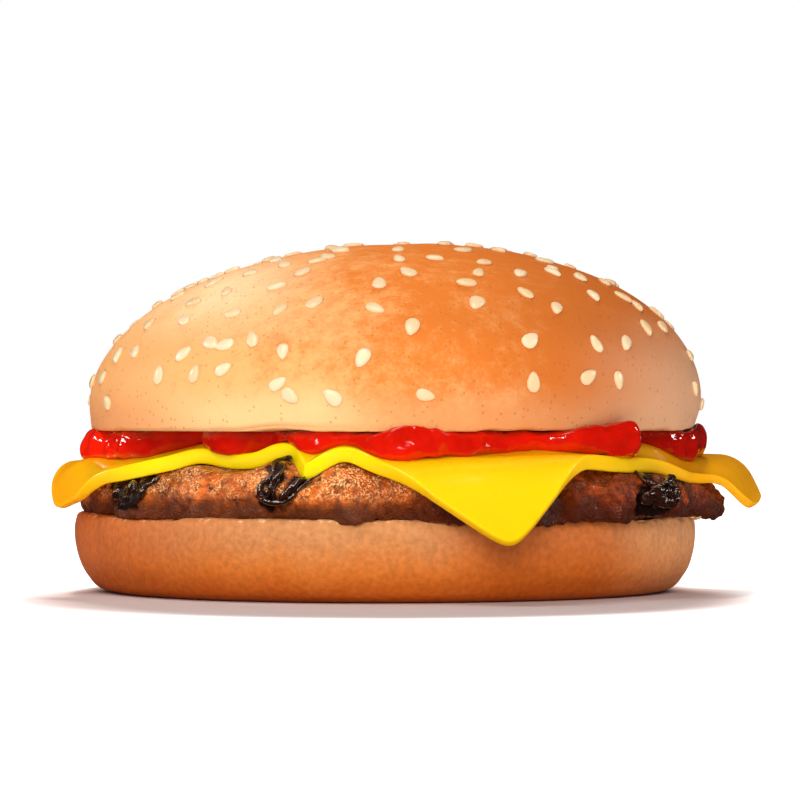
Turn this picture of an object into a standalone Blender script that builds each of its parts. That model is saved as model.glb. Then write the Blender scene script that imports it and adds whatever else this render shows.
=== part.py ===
"""A hamburger with one slice of cheese, modelled at its real size in metres.

From the table up its solids are the lower half of the bun, the meat patty, the slice of
processed cheese that hangs over it, the ketchup, and the upper half of the bun with its
sesame seeds. +X is to the right, +Y is away from the viewer and +Z is up. The origin is
the middle of the bun's flat underside. Azimuths turn about +Z from the front, 0, to the
right, 90.
"""

import bmesh
import bpy
import numpy as np

GAP = 0.0003  # the air that keeps two touching layers apart
EASE = 0.0004  # more air, where the layers follow the bends of the cheese

# Lower half of the bun
HEEL_FOOT = 0.0425  # radius of the flat that it rests on
HEEL_RADIUS = 0.0491
HEEL_WIDEST = 0.0095  # height of the widest ring
HEEL_HEIGHT = 0.0124
HEEL_SHOULDER = 0.0020  # how far the top edge rounds in
HEEL_STEPS = 44
# How unevenly the wall runs round the bun: waves to a turn, share of the radius, phase (radians)
HEEL_SWELLS = ((2, 0.006, 0.7), (5, 0.003, 2.0))

# Meat patty
PATTY_X = 0.0028
PATTY_RADIUS = 0.0506
PATTY_BASE = HEEL_HEIGHT + GAP
PATTY_TOP = 0.0193
PATTY_WIDEST = 0.0146  # height of the widest ring
PATTY_SHOULDER = 0.0080  # how far the upper edge rounds in
PATTY_HEM = 0.0012  # how far the lower edge rounds in
PATTY_SAG = 0.0011  # how far the right side, which overhangs the bun, drops
PATTY_RIM, PATTY_RIM_OVER = 0.040, 0.006  # where the top edge starts to be uneven
PATTY_STEPS = 120
CRAG_DEPTH = 0.0022
CRAG_CELL = 0.0062
CRUMB_DEPTH = 0.0012
CRUMB_CELL = 0.0038
# Charred lumps on the patty's side: azimuth, half width (degrees), how far out, how far up
CHARS = ((-57.0, 5.5, 0.0007, 0.0), (-23.5, 4.5, 0.0006, 0.0020), (53.0, 5.5, 0.0010, 0.0))
# Plain lumps that push the cheese up: azimuth, half width (degrees), how far up
LUMPS = ((-40.0, 9.0, 0.0010), (-10.5, 5.0, 0.0022), (30.0, 14.0, 0.0008))

# Cheese slice, as cut, and how it hangs over the patty
SLICE_SIDE = 0.0860
SLICE_THICK = 0.0025
SLICE_TURN = 13.0  # azimuth of its front corner
SLICE_MIDDLE = (0.0024, -0.0016)  # from the middle of the patty
SLICE_CORNER = 30.0  # power of the rounded square: higher is sharper
SLICE_CELLS = 22
SLICE_FLOOR = PATTY_TOP + GAP
SAG = 0.0008  # how far the rim of the slice settles on the patty's rounded edge
SAG_FROM, SAG_OVER = 0.0395, 0.0075
# Corners that hang: azimuth they face, distance to the bend, bend radius, droop (degrees)
FLAPS = (
    (-62.0, 0.0474, 0.0050, 64.0),
    (6.5, 0.0453, 0.0070, 60.0),
    (79.0, 0.0455, 0.0055, 50.0),
    (193.0, 0.0480, 0.0050, 60.0),
)
# Waves in its rim: azimuth, half width (degrees), lift, radius where the wave starts, push outward
WAVES = (
    (-77.0, 7.0, 0.0, 0.050, -0.0008),
    (-66.0, 6.0, -0.0007, 0.043, 0.0022),
    (-57.0, 5.0, -0.0010, 0.043, 0.0024),
    (-44.0, 5.0, 0.0009, 0.029, 0.0),
    (-24.5, 5.0, 0.0012, 0.029, 0.0),
    (-24.0, 4.5, 0.0007, 0.038, 0.0),
    (-17.0, 3.0, -0.0017, 0.043, 0.0034),
    (-11.0, 4.2, 0.0013, 0.029, 0.0),
    (-11.0, 4.2, 0.0004, 0.038, 0.0),
    (30.0, 9.0, 0.0007, 0.029, 0.0),
    (68.0, 9.0, -0.0010, 0.040, 0.0010),
    (88.0, 9.0, -0.0010, 0.040, 0.0026),
    (102.0, 6.0, 0.0, 0.050, -0.0027),
    (114.0, 8.0, 0.0, 0.050, 0.0022),
)
WAVE_OVER = 0.0070
# Swells behind its rim: azimuth, half width (degrees), radius, half depth, lift
SWELLS = ((-50.0, 7.0, 0.0375, 0.0045, 0.0010), (63.0, 10.0, 0.0385, 0.0050, 0.0013))

# Ketchup, and the lobes that were squeezed out: azimuth, half width (degrees), reach
KETCHUP_TOP = 0.0247
KETCHUP_RADIUS = 0.0452
KETCHUP_SWELL = 0.0003  # how far it rises outside the upper bun
KETCHUP_RIM = 0.03  # rounding of its edge, as a share of its reach
KETCHUP_STEPS = 52
LOBES = (
    (-84.0, 24.0, 0.0060),
    (-50.0, 6.0, -0.0062),
    (-38.0, 6.0, 0.0006),
    (-28.5, 4.5, -0.0045),
    (1.0, 10.0, 0.0032),
    (22.0, 9.0, -0.0012),
    (36.0, 8.0, 0.0026),
    (44.0, 4.5, 0.0036),
    (61.0, 9.5, -0.0070),
    (89.0, 11.0, 0.0028),
    (140.0, 16.0, 0.0022),
    (188.0, 14.0, 0.0030),
    (226.0, 12.0, 0.0012),
)

# Upper half of the bun
CROWN_X = 0.0012
CROWN_BASE = 0.0250
CROWN_RADIUS = 0.0480
CROWN_SKIRT = 0.0044  # from the cut to the widest ring
CROWN_TUCK = 0.0010  # how far the skirt runs in, down to the cut
CROWN_EDGE = 0.0009  # rounding of the lower edge
CROWN_RISE = 0.0249  # from the widest ring to the top
CROWN_LEAN = 0.0011  # the right side is this much higher, and the left side lower
CROWN_POWER = 2.08  # over 2 makes the dome flatter on top than an ellipse
CROWN_STEPS = 48

# Sesame seeds
SEED_COUNT = 176
SEED_PAIRS = 20  # seeds that lie against another one
SEED_LENGTH, SEED_WIDTH, SEED_THICK = 0.0032, 0.0020, 0.0009
SEED_SUNK = 0.00036  # how much of the thickness is in the crust
SEED_POINT = 0.28  # how much narrower one end is
SEED_SPACING = 0.0050
SEED_TOUCHING = 0.0024  # least distance of a pair's middles
SEED_LOWEST = 1.025  # share of the way down the crust
SEED_STEEP = 0.28  # part of the seeds that stay where the crust is upright
SEED_SIDES = 7
SEED_DRAW = 7


def turned(angle):
    """The angle brought between minus and plus half a turn."""
    return (angle + np.pi) % (2 * np.pi) - np.pi


def bell(azimuth, middle, half_width):
    """A smooth bump of height 1 at the azimuth `middle`, which is in degrees, as half_width is."""
    return np.exp(-((turned(azimuth - np.radians(middle)) / np.radians(half_width)) ** 2))


def ramp(value, start, over):
    """0 below start, 1 from start + over, and smooth between them."""
    t = np.clip((value - start) / over, 0.0, 1.0)
    return t * t * (3 - 2 * t)


def azimuth_of(x, y):
    return np.arctan2(x, -y)


def corner_values(ix, iy, iz, salt):
    """A repeatable number from -1 to 1 for each corner of a lattice, mixed from its place."""
    mask = np.uint64(0xFFFFFFFF)
    mixed = (
        ix.astype(np.int64) * 374761393
        + iy.astype(np.int64) * 668265263
        + iz.astype(np.int64) * 1440662683
        + salt * 974634777
    ).astype(np.uint64) & mask
    mixed = ((mixed ^ (mixed >> np.uint64(13))) * np.uint64(1274126177)) & mask
    mixed = mixed ^ (mixed >> np.uint64(16))
    return mixed.astype(float) / float(0xFFFFFFFF) * 2 - 1


def noise(points, cell, salt):
    """Smooth noise from -1 to 1, one cell to a lump: lattice values blended along each axis."""
    place = points / cell
    low = np.floor(place)
    part = place - low
    part = part * part * (3 - 2 * part)
    total = 0.0
    for dx in (0, 1):
        for dy in (0, 1):
            for dz in (0, 1):
                weight = (
                    (part[:, 0] if dx else 1 - part[:, 0])
                    * (part[:, 1] if dy else 1 - part[:, 1])
                    * (part[:, 2] if dz else 1 - part[:, 2])
                )
                total = total + weight * corner_values(low[:, 0] + dx, low[:, 1] + dy, low[:, 2] + dz, salt)
    return total


def clear_scene():
    for old in list(bpy.data.objects):
        bpy.data.objects.remove(old)


def finish_food(name, red, green, blue, roughness):
    """A Principled material of one plain colour."""
    material = bpy.data.materials.new(name)
    material.use_nodes = True
    shader = material.node_tree.nodes["Principled BSDF"]
    shader.inputs["Base Color"].default_value = (red, green, blue, 1.0)
    shader.inputs["Roughness"].default_value = roughness
    return material


def new_object(name, bm, material):
    mesh = bpy.data.meshes.new(name)
    bm.to_mesh(mesh)
    bm.free()
    mesh.materials.append(material)
    mesh.shade_smooth()
    obj = bpy.data.objects.new(name, mesh)
    bpy.context.scene.collection.objects.link(obj)
    return obj


def spun(name, profile, steps, material):
    """A solid of revolution about Z. The (radius, height) pairs start and end on the axis, top first."""
    bm = bmesh.new()
    line = [bm.verts.new((radius, 0.0, height)) for radius, height in profile]
    edges = [bm.edges.new(pair) for pair in zip(line, line[1:])]
    bmesh.ops.spin(
        bm, geom=line + edges, cent=(0, 0, 0), axis=(0, 0, 1), angle=2 * np.pi, steps=steps, use_merge=True
    )
    bmesh.ops.remove_doubles(bm, verts=bm.verts, dist=1e-6)
    bmesh.ops.recalc_face_normals(bm, faces=bm.faces)
    return new_object(name, bm, material)


def reshape(obj, rule):
    """Moves every vertex of the mesh by rule, which takes and returns an array with one row for each."""
    flat = np.empty(len(obj.data.vertices) * 3)
    obj.data.vertices.foreach_get("co", flat)
    obj.data.vertices.foreach_set("co", rule(flat.reshape(-1, 3)).ravel())
    obj.data.update()


def heel_profile():
    """Flat top, a tightly rounded shoulder down to the widest ring, then a long curve in to the foot."""
    profile = [(0.0, HEEL_HEIGHT), (HEEL_RADIUS * 0.6, HEEL_HEIGHT)]
    neck = HEEL_RADIUS - HEEL_SHOULDER
    for turn in np.radians((90, 62, 36, 0)):
        profile.append(
            (
                neck + HEEL_SHOULDER * np.cos(turn) ** 0.5,
                HEEL_WIDEST + (HEEL_HEIGHT - HEEL_WIDEST) * np.sin(turn),
            )
        )
    for turn in np.radians((70, 50, 33, 17, 0)):
        profile.append(
            (
                HEEL_FOOT + (HEEL_RADIUS - HEEL_FOOT) * np.sin(turn) ** 0.8,
                HEEL_WIDEST * (1 - np.cos(turn)),
            )
        )
    profile.append((0.0, 0.0))
    return profile


def make_heel():
    heel = spun("bun_heel", heel_profile(), HEEL_STEPS, finish_food("bun_base", 0.62, 0.30, 0.10, 0.7))

    def uneven(points):
        """The wall swells and shrinks a little round the bun. The flat top and the foot stay flat."""
        x, y, z = points.T
        azimuth = azimuth_of(x, y)
        swell = 1 + sum(share * np.cos(waves * azimuth + phase) for waves, share, phase in HEEL_SWELLS)
        return np.column_stack((x * swell, y * swell, z))

    reshape(heel, uneven)
    return heel


def patty_profile():
    """A thick disc, broadly rounded at its upper edge and tightly at its lower one."""
    core = PATTY_RADIUS - PATTY_SHOULDER
    foot = PATTY_RADIUS - PATTY_HEM
    profile = [(0.0, PATTY_TOP), (core * 0.55, PATTY_TOP)]
    for turn in np.radians((90, 68, 52, 39, 28, 18, 9, 0)):
        profile.append(
            (
                core + PATTY_SHOULDER * np.cos(turn) ** 0.7,
                PATTY_WIDEST + (PATTY_TOP - PATTY_WIDEST) * np.sin(turn),
            )
        )
    for turn in np.radians((25, 50, 90)):
        profile.append(
            (
                foot + PATTY_HEM * np.cos(turn) ** 0.8,
                PATTY_WIDEST - (PATTY_WIDEST - PATTY_BASE) * np.sin(turn),
            )
        )
    profile += [(foot - 0.005, PATTY_BASE), (foot * 0.6, PATTY_BASE), (0.0, PATTY_BASE)]
    return profile


def char_bump(azimuth, column):
    """How far the charred lumps stand out (column 2) or rise (column 3) at an azimuth."""
    return sum(lump[column] * bell(azimuth, lump[0], lump[1]) for lump in CHARS)


def patty_raised(azimuth):
    """How much higher the patty's rim is at an azimuth, over its charred and its plain lumps."""
    return char_bump(azimuth, 3) + sum(up * bell(azimuth, middle, width) for middle, width, up in LUMPS)


def craggy(points):
    """The patty's side is eaten in by crags of up to their full depth, and swells at the charred lumps."""
    x, y, z = points.T
    radius = np.maximum(np.hypot(x, y), 1e-9)
    azimuth = azimuth_of(x, y)
    side = ramp(radius, PATTY_RADIUS - PATTY_SHOULDER, PATTY_SHOULDER * 0.8)
    depth = CRAG_DEPTH * np.clip(0.5 + noise(points, CRAG_CELL, 3), 0.0, 1.0)
    depth = depth + CRUMB_DEPTH * np.clip(0.5 + noise(points, CRUMB_CELL, 5), 0.0, 1.0)
    radius_now = radius + side * (char_bump(azimuth, 2) - depth)
    rim = ramp(radius, PATTY_RIM, PATTY_RIM_OVER)
    upper = ramp(z, PATTY_BASE + 0.003, 0.004)
    height = z + upper * rim * (patty_raised(azimuth) - 0.12 * depth)
    height = height - PATTY_SAG * ramp(x + PATTY_X, HEEL_RADIUS - 0.001, 0.006)
    x, y = x / radius * radius_now, y / radius * radius_now
    ceiling = slice_underside(x, y) - GAP - EASE * rim
    return np.column_stack((x, y, np.minimum(height, ceiling)))


def make_patty():
    meat = finish_food("grilled_meat", 0.20, 0.055, 0.018, 0.45)
    patty = spun("patty", patty_profile(), PATTY_STEPS, meat)
    reshape(patty, craggy)
    patty.location.x = PATTY_X
    return patty


def rim_lift(radius, azimuth, sagging=1.0):
    """Height that the waves and the sag add near the slice's rim, with a part `sagging` of what drops."""
    total = -SAG * ramp(radius, SAG_FROM, SAG_OVER)
    for middle, width, lift, start, _ in WAVES:
        kept = 1.0 if lift > 0 else sagging
        total = total + kept * lift * bell(azimuth, middle, width) * ramp(radius, start, WAVE_OVER)
    for middle, width, reach, deep, lift in SWELLS:
        total = total + lift * bell(azimuth, middle, width) * np.exp(-(((radius - reach) / deep) ** 2))
    return total


def fold_drop(x, y, height):
    """How far the folds lower a point `height` above the slice's underside, up to where they turn steep."""
    total = 0.0
    for faces, distance, bend, _ in FLAPS:
        along = x * np.sin(np.radians(faces)) - y * np.cos(np.radians(faces))
        outer = bend + height
        over = np.clip(along - distance, 0.0, outer * 0.97)
        total = total + outer - np.sqrt(outer**2 - over**2)
    return total


def slice_underside(x, y):
    return SLICE_FLOOR - fold_drop(x, y, 0.0) + rim_lift(np.hypot(x, y), azimuth_of(x, y))


def draped(points):
    """The underside of the slice over the patty.

    A flat rounded square is turned and moved into place, and waved. What lies past the
    line of each fold bends down round an arc and then runs straight, at the flap's droop.
    """
    a, b = points[:, 0], points[:, 1]
    longest = np.maximum(np.maximum(np.abs(a), np.abs(b)), 1e-9)
    power_sum = (np.abs(a) / longest) ** SLICE_CORNER + (np.abs(b) / longest) ** SLICE_CORNER
    rounding = np.maximum(power_sum, 1.0) ** (-1 / SLICE_CORNER)
    a, b = a * rounding, b * rounding
    first, second = np.radians((SLICE_TURN - 45, SLICE_TURN + 45))
    x = a * np.sin(first) + b * np.sin(second) + SLICE_MIDDLE[0]
    y = -a * np.cos(first) - b * np.cos(second) + SLICE_MIDDLE[1]
    reach = np.hypot(x, y)
    azimuth = azimuth_of(x, y)
    for middle, width, _, start, push in WAVES:
        reach = reach + push * bell(azimuth, middle, width) * ramp(reach, start - WAVE_OVER, WAVE_OVER)
    x, y = reach * np.sin(azimuth), -reach * np.cos(azimuth)
    z = SLICE_FLOOR + rim_lift(reach, azimuth)
    for faces, distance, bend, droop in FLAPS:
        out_x, out_y = np.sin(np.radians(faces)), -np.cos(np.radians(faces))
        droop = np.radians(droop)
        over = np.maximum(x * out_x + y * out_y - distance, 0.0)
        bent = np.minimum(over / bend, droop)
        straight = np.maximum(over - bend * droop, 0.0)
        inward = over - bend * np.sin(bent) - straight * np.cos(droop)
        x, y = x - inward * out_x, y - inward * out_y
        z = z - bend * (1 - np.cos(bent)) - straight * np.sin(droop)
    return np.column_stack((x, y, z))


def make_cheese():
    """A grid that is closer near the rim, draped, and given its thickness upwards."""
    bm = bmesh.new()
    bmesh.ops.create_grid(bm, x_segments=SLICE_CELLS, y_segments=SLICE_CELLS, size=1.0)
    bmesh.ops.recalc_face_normals(bm, faces=bm.faces)
    cheese = new_object("cheese_slice", bm, finish_food("processed_cheese", 1.0, 0.56, 0.01, 0.35))

    def to_rim(points):
        spread = np.sin(points * np.pi / 2) * 0.45 + points * 0.55
        return spread * SLICE_SIDE / 2

    reshape(cheese, to_rim)
    reshape(cheese, draped)
    split = cheese.modifiers.new("split", "TRIANGULATE")
    split.quad_method = "FIXED"
    thick = cheese.modifiers.new("thickness", "SOLIDIFY")
    thick.thickness = SLICE_THICK
    thick.offset = 1.0
    thick.use_even_offset = True
    cheese.location.x = PATTY_X
    return cheese


def cheese_face(x, y):
    """Height of the slice's upper face. Narrow tongues that sag are partly followed, being steep."""
    lift = rim_lift(np.hypot(x, y), azimuth_of(x, y), 0.35)
    return SLICE_FLOOR + SLICE_THICK - fold_drop(x, y, SLICE_THICK) + lift


def ketchup_reach(azimuth):
    return KETCHUP_RADIUS + sum(reach * bell(azimuth, middle, width) for middle, width, reach in LOBES)


def make_ketchup():
    """A unit disc with a round rim, stretched so that it fills the space from the cheese up to the bun."""
    rim = KETCHUP_RIM
    profile = [(0.0, 1.0), (0.5, 1.0), (0.85, 1.0)]
    for turn in np.radians((80, 40, 0, -40, -80)):
        profile.append((1 - rim + rim * np.cos(turn), 0.5 + 0.5 * np.sin(turn)))
    profile += [(0.92, 0.0), (0.82, 0.0), (0.5, 0.0), (0.0, 0.0)]
    ketchup = spun("ketchup", profile, KETCHUP_STEPS, finish_food("ketchup_red", 0.55, 0.012, 0.003, 0.12))

    def squeezed(points):
        """The unit radius becomes the reach at each azimuth, and the height the space over the cheese."""
        share = np.hypot(points[:, 0], points[:, 1])
        azimuth = azimuth_of(points[:, 0], points[:, 1])
        radius = share * ketchup_reach(azimuth)
        x, y = radius * np.sin(azimuth), -radius * np.cos(azimuth)
        floor = cheese_face(x, y) + GAP + EASE
        top = KETCHUP_TOP + KETCHUP_SWELL * ramp(np.hypot(x + PATTY_X - CROWN_X, y), CROWN_RADIUS, 0.0015)
        return np.column_stack((x, y, floor + points[:, 2] * (top - floor)))

    reshape(ketchup, squeezed)
    ketchup.location.x = PATTY_X
    return ketchup


def crust_point(share, azimuth):
    """Point of the crust, from the middle of the cut. Share is 0 at the top and 1 at the widest ring."""
    fall = np.minimum(share, 1.0) * np.pi / 2
    below = np.maximum(share - 1.0, 0.0) * np.pi / 2 * CROWN_RADIUS
    radius = CROWN_RADIUS * np.sin(fall) - CROWN_TUCK * (below / CROWN_SKIRT) ** 2
    lean = CROWN_LEAN * np.sin(azimuth) * np.sin(fall)
    height = CROWN_SKIRT + lean - below + CROWN_RISE * np.maximum(np.cos(fall), 0.0) ** (2 / CROWN_POWER)
    return np.stack((radius * np.sin(azimuth), -radius * np.cos(azimuth), height), axis=-1)


def crown_profile():
    """Dome, widest ring, skirt and rounded lower edge, down to the flat cut."""
    profile = [(0.0, CROWN_SKIRT + CROWN_RISE)]
    for share in (*np.linspace(0.1, 1.0, 11), 1.025, 1.045):
        _, front, height = crust_point(share, 0.0)
        profile.append((-float(front), float(height)))
    neck = CROWN_RADIUS - CROWN_TUCK
    profile += [
        (neck - CROWN_EDGE * 0.3, CROWN_EDGE * 0.3),
        (neck - CROWN_EDGE, 0.0),
        (neck * 0.5, 0.0),
        (0.0, 0.0),
    ]
    return profile


def make_seed(middle, along, across, normal, length, width, material):
    """A flat teardrop whose wall leans in, set into the crust by a part of its thickness."""
    bm = bmesh.new()
    angles = np.arange(SEED_SIDES) * 2 * np.pi / SEED_SIDES
    tip_to_tip = 0.5 * length * np.cos(angles)
    side_to_side = 0.5 * width * np.sin(angles) * (1 - SEED_POINT * np.cos(angles))
    rings = []
    for share, height in ((1.08, -SEED_SUNK), (0.8, SEED_THICK - SEED_SUNK)):
        outline = middle + np.outer(tip_to_tip * share, along) + np.outer(side_to_side * share, across)
        rings.append([bm.verts.new(point) for point in outline + normal * height])
    bm.faces.new(rings[0])
    bm.faces.new(rings[1])
    bmesh.ops.bridge_loops(bm, edges=[edge for edge in bm.edges])
    bmesh.ops.recalc_face_normals(bm, faces=bm.faces)
    return new_object("seed", bm, material)


def seed_frames():
    """Middle, three directions, length and width of every seed, from the middle of the cut.

    Candidates fall evenly on the dome's area. Steep places keep fewer, as when seeds are
    strewn from above, and each stays its spacing away from the others. The last few lie
    against a seed that is already there.
    """
    draw = np.random.default_rng(SEED_DRAW)
    frames = []
    spots = np.empty((0, 3))
    while len(frames) < SEED_COUNT:
        share, azimuth, keep = draw.random(3) * (SEED_LOWEST, 2 * np.pi, 1.0)
        spin, size, slim = draw.random(3)
        fall = min(share, 1.0) * np.pi / 2
        down, out = CROWN_RISE * np.sin(fall), CROWN_RADIUS * np.cos(fall)
        area = np.sin(fall) * np.hypot(down, out) / CROWN_RADIUS
        flatness = out / np.hypot(down, out)
        spot = crust_point(share, azimuth)
        nearest = np.linalg.norm(spots - spot, axis=1).min(initial=1.0)
        pairing = len(frames) >= SEED_COUNT - SEED_PAIRS
        if pairing and not SEED_TOUCHING < nearest < SEED_TOUCHING * 1.15:
            continue
        if keep > area * (SEED_STEEP + (1 - SEED_STEEP) * flatness):
            continue
        if nearest < SEED_SPACING and not pairing:
            continue
        slope = spot - crust_point(share - 0.001, azimuth)
        slope /= np.linalg.norm(slope)
        level = np.array((np.cos(azimuth), np.sin(azimuth), 0.0))
        normal = np.cross(slope, level)
        along = np.cos(2 * np.pi * spin) * slope + np.sin(2 * np.pi * spin) * level
        length = SEED_LENGTH * (0.9 + 0.2 * size)
        width = SEED_WIDTH * (0.9 + 0.2 * size) * (0.92 + 0.16 * slim)
        frames.append((spot, along, np.cross(normal, along), normal, length, width))
        spots = np.vstack((spots, spot))
    return frames


def make_crown():
    """The upper bun, joined with its seeds into one solid."""
    crust = finish_food("bun_crust", 0.72, 0.34, 0.11, 0.5)
    crown = spun("bun_crown", crown_profile(), CROWN_STEPS, crust)

    def leaning(points):
        """The dome is a little higher on the right, without moving the cut."""
        x, y, z = points.T
        lift = ramp(z, 0.001, CROWN_SKIRT - 0.001)
        return np.column_stack((x, y, z + CROWN_LEAN * lift * x / CROWN_RADIUS))

    reshape(crown, leaning)
    crown.location = (CROWN_X, 0.0, CROWN_BASE)

    seeds = bpy.data.collections.new("seeds")
    bpy.context.scene.collection.children.link(seeds)
    for middle, *directions, length, width in seed_frames():
        seed = make_seed(middle + np.array(crown.location), *directions, length, width, crust)
        bpy.context.scene.collection.objects.unlink(seed)
        seeds.objects.link(seed)

    union = crown.modifiers.new("seeds", "BOOLEAN")
    union.operation = "UNION"
    union.operand_type = "COLLECTION"
    union.collection = seeds
    bpy.context.view_layer.objects.active = crown
    bpy.ops.object.modifier_apply(modifier=union.name)
    for seed in list(seeds.objects):
        bpy.data.objects.remove(seed)
    bpy.data.collections.remove(seeds)
    crown.data.set_sharp_from_angle(angle=np.radians(30))
    return crown


def main():
    clear_scene()
    burger = bpy.data.objects.new("hamburger", None)
    bpy.context.scene.collection.objects.link(burger)
    for piece in (make_heel(), make_patty(), make_cheese(), make_ketchup(), make_crown()):
        piece.parent = burger


main()
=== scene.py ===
"""The looks of a hamburger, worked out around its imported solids.

Every layer is one surface of two parameters: a row number that runs over its profile, from
its top to its underside, and an azimuth that turns round the burger. +X is to the right,
+Y is away from the viewer, +Z is up, and the origin is the middle of the lower bun's flat
underside. Azimuths turn about +Z from the front, 0, to the right, 90. All sizes are metres.
"""

import bpy
import numpy as np
from bpy.props import FloatProperty, FloatVectorProperty, IntProperty, PointerProperty
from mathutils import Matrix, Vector


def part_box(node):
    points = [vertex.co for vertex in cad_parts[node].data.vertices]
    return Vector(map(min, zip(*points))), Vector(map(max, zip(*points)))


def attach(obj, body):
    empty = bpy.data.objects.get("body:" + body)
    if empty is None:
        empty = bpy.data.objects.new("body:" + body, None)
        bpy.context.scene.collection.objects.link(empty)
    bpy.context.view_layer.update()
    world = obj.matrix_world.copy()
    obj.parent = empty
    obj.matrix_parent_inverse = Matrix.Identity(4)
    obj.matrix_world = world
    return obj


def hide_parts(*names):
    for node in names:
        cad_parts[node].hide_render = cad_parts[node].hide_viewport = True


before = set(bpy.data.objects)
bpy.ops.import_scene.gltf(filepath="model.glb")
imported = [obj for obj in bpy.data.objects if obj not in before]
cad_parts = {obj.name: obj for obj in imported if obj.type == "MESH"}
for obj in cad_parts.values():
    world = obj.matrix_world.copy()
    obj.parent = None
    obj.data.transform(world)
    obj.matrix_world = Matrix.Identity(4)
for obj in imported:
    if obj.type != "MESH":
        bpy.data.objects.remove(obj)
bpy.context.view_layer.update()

bl_info = {
    "name": "Hamburger",
    "version": (1, 0, 0),
    "blender": (4, 5, 0),
    "location": "View3D > Sidebar > Burger",
    "description": "Makes a hamburger with cheese, layer by layer, and a plain stage for it",
    "category": "Add Mesh",
}

GAP = 0.0003  # the air that keeps two layers apart
TOUCH = 0.0001  # how far the patty stays under the cheese, and the ketchup reaches into it
RING = 0.05  # radius at which noise is read where it changes only round the burger
WHITE = (1.0, 1.0, 1.0, 1.0)

# Layers of noise are given by height, cell and salt, the number that makes each one its own.
# A place where a colour changes is given by two coordinates, from and to, or by four where it
# changes back again: X to the right, Y to the back, Z up.

# Lower half of the bun
HEEL_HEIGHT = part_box("bun_heel")[1].z
HEEL_FOOT = 0.0425  # radius of the flat that it rests on
HEEL_RADIUS = 0.0491
HEEL_WIDEST = 0.0095  # height of the widest ring
HEEL_SHOULDER = 0.0020  # how far the top edge rounds in
# How unevenly the wall runs round the bun: waves to a turn, share of the radius, phase (radians)
HEEL_SWELLS = ((2, 0.006, 0.7), (5, 0.003, 2.0))
HEEL_LUMPS = ((0.00025, 0.0110, 12), (0.00006, 0.0030, 13))
HEEL_SKIN_IN = 0.0003  # how far the uneven wall lies behind the plain one
CREASES = ((0.00030, 0.0042, 11),)
CREASE_SQUEEZE = 0.12  # heights are multiplied by this, which draws the creases upright
CREASES_UP = (0.003, 0.006)  # height where the creases begin, and over what height they grow
TORN_BAND, TORN_OVER = 0.0016, 0.0014  # how far below the top the tears begin, and grow fully over
TEARS = ((0.00035, 0.0013, 14),)
TORN_MORE = (0.030, 0.015)  # X from which, and over what length, it is torn more
# Where its colours change: up the side, then from left to right, where a shaded left end, a shaded band
# right of the middle and a paler lit right end are painted shade and light
HEEL_FOOT_TO, HEEL_SOFT_FROM = (0.0020, 0.0075), (0.0055, 0.0125)
HEEL_LEFT_SHADE_TO, HEEL_LIT_RIGHT_FROM = (-0.050, -0.012), (0.030, 0.047)
# painted shadow: a band right of the middle, darkened where the cheese flap and the patty shade the side
HEEL_SHADE_BAND = (0.004, 0.018, 0.030, 0.044)

# Torn crumbs at its right end
CRUMBS_BETWEEN = (70.0, 96.0)  # azimuths
CRUMBS_UNDER_TOP = (0.0001, 0.0012)
CRUMBS_INSIDE = HEEL_SHOULDER * 0.3
CRUMB_LUMPS = ((0.45, 0.9, 81),)  # shares of a crumb's own size

# Meat patty
PATTY_X = 0.0028
PATTY_BASE = HEEL_HEIGHT + GAP
PATTY_TOP = 0.0193
PATTY_WIDEST = 0.0146  # height of the widest ring
PATTY_SHOULDER = 0.0080  # how far the upper edge rounds in
PATTY_HEM = 0.0012  # how far the lower edge rounds in
PATTY_SAG = 0.0011  # how far the right side, which overhangs the bun, drops
PATTY_RIM, PATTY_RIM_OVER = 0.040, 0.006  # where the top edge starts to be uneven
# Hollows in the side, coarse and finer: depth, cell and salt
PATTY_HOLLOWS = ((0.0022, 0.0062, 3), (0.0012, 0.0038, 5))
GRAIN_HEIGHT, GRAIN_MIDDLE = 0.00075, 0.55  # height of the grains, and the relief that lies level
GRAIN_SHIFT = 0.0006  # how far noise shifts the grains out of shape
FINE_GRAIN = 0.45  # width of the finer grains, in grains
PATTY_GRIT = ((0.00025, 0.0008, 24),)
HEM_HANG, HEM_RAGGED = 0.0004, 0.0010  # how far the lowest edge hangs: everywhere, and in places
HEM_ROWS, HEM_CELL = 0.0022, 0.0042  # height of the part that hangs, width of its points
HEM_FROM = (0.0460, 0.0020)  # radius from which, and over what length, it hangs
HEM_SINK = 0.0001  # how far the patty's lowest edge presses into the bun
HEM_DEEPER = 0.0005  # how much lower the bun's top is by its rim, where the wall is uneven
BURNT_EDGE = ((0.0007, 0.0014, 25), (0.0004, 0.0006, 26))
BURNT_OVER = 0.0007  # width over which the burnt patches fade out
DARK_GRAIN, LIGHT_GRAIN = (0.75, 0.72, 0.70), (1.3, 1.22, 1.15)  # tints of single grains
PATTY_DARKER = (0.66, 0.42, 0.24)  # tint of its shaded right side
BURNT_ROUGHNESS = (0.16, 0.16, 0.16)
# Where its colours change: up the side, then from left to right. The pale flecks, painted highlight on
# fat, set in up the side and grow fewer towards the shaded right
PATTY_HEM_TO, PATTY_FAT_GLINT_FROM = (0.0142, 0.0178), (0.0156, 0.0178)
PATTY_SEARED_FADES, PATTY_FAT_GLINT_FADE_FROM = (-0.012, 0.016), (-0.010, 0.020)
PATTY_DARK_FROM = (-0.006, 0.012)
# Charred lumps on the patty's side: azimuth, half width (degrees), how far out, how far up
CHARS = ((-57.0, 5.5, 0.0007, 0.0), (-23.5, 4.5, 0.0006, 0.0020), (53.0, 5.5, 0.0010, 0.0))
# Plain lumps that push the cheese up: azimuth, half width (degrees), how far up
LUMPS = ((-40.0, 9.0, 0.0010), (-10.5, 5.0, 0.0022), (30.0, 14.0, 0.0008))
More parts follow.
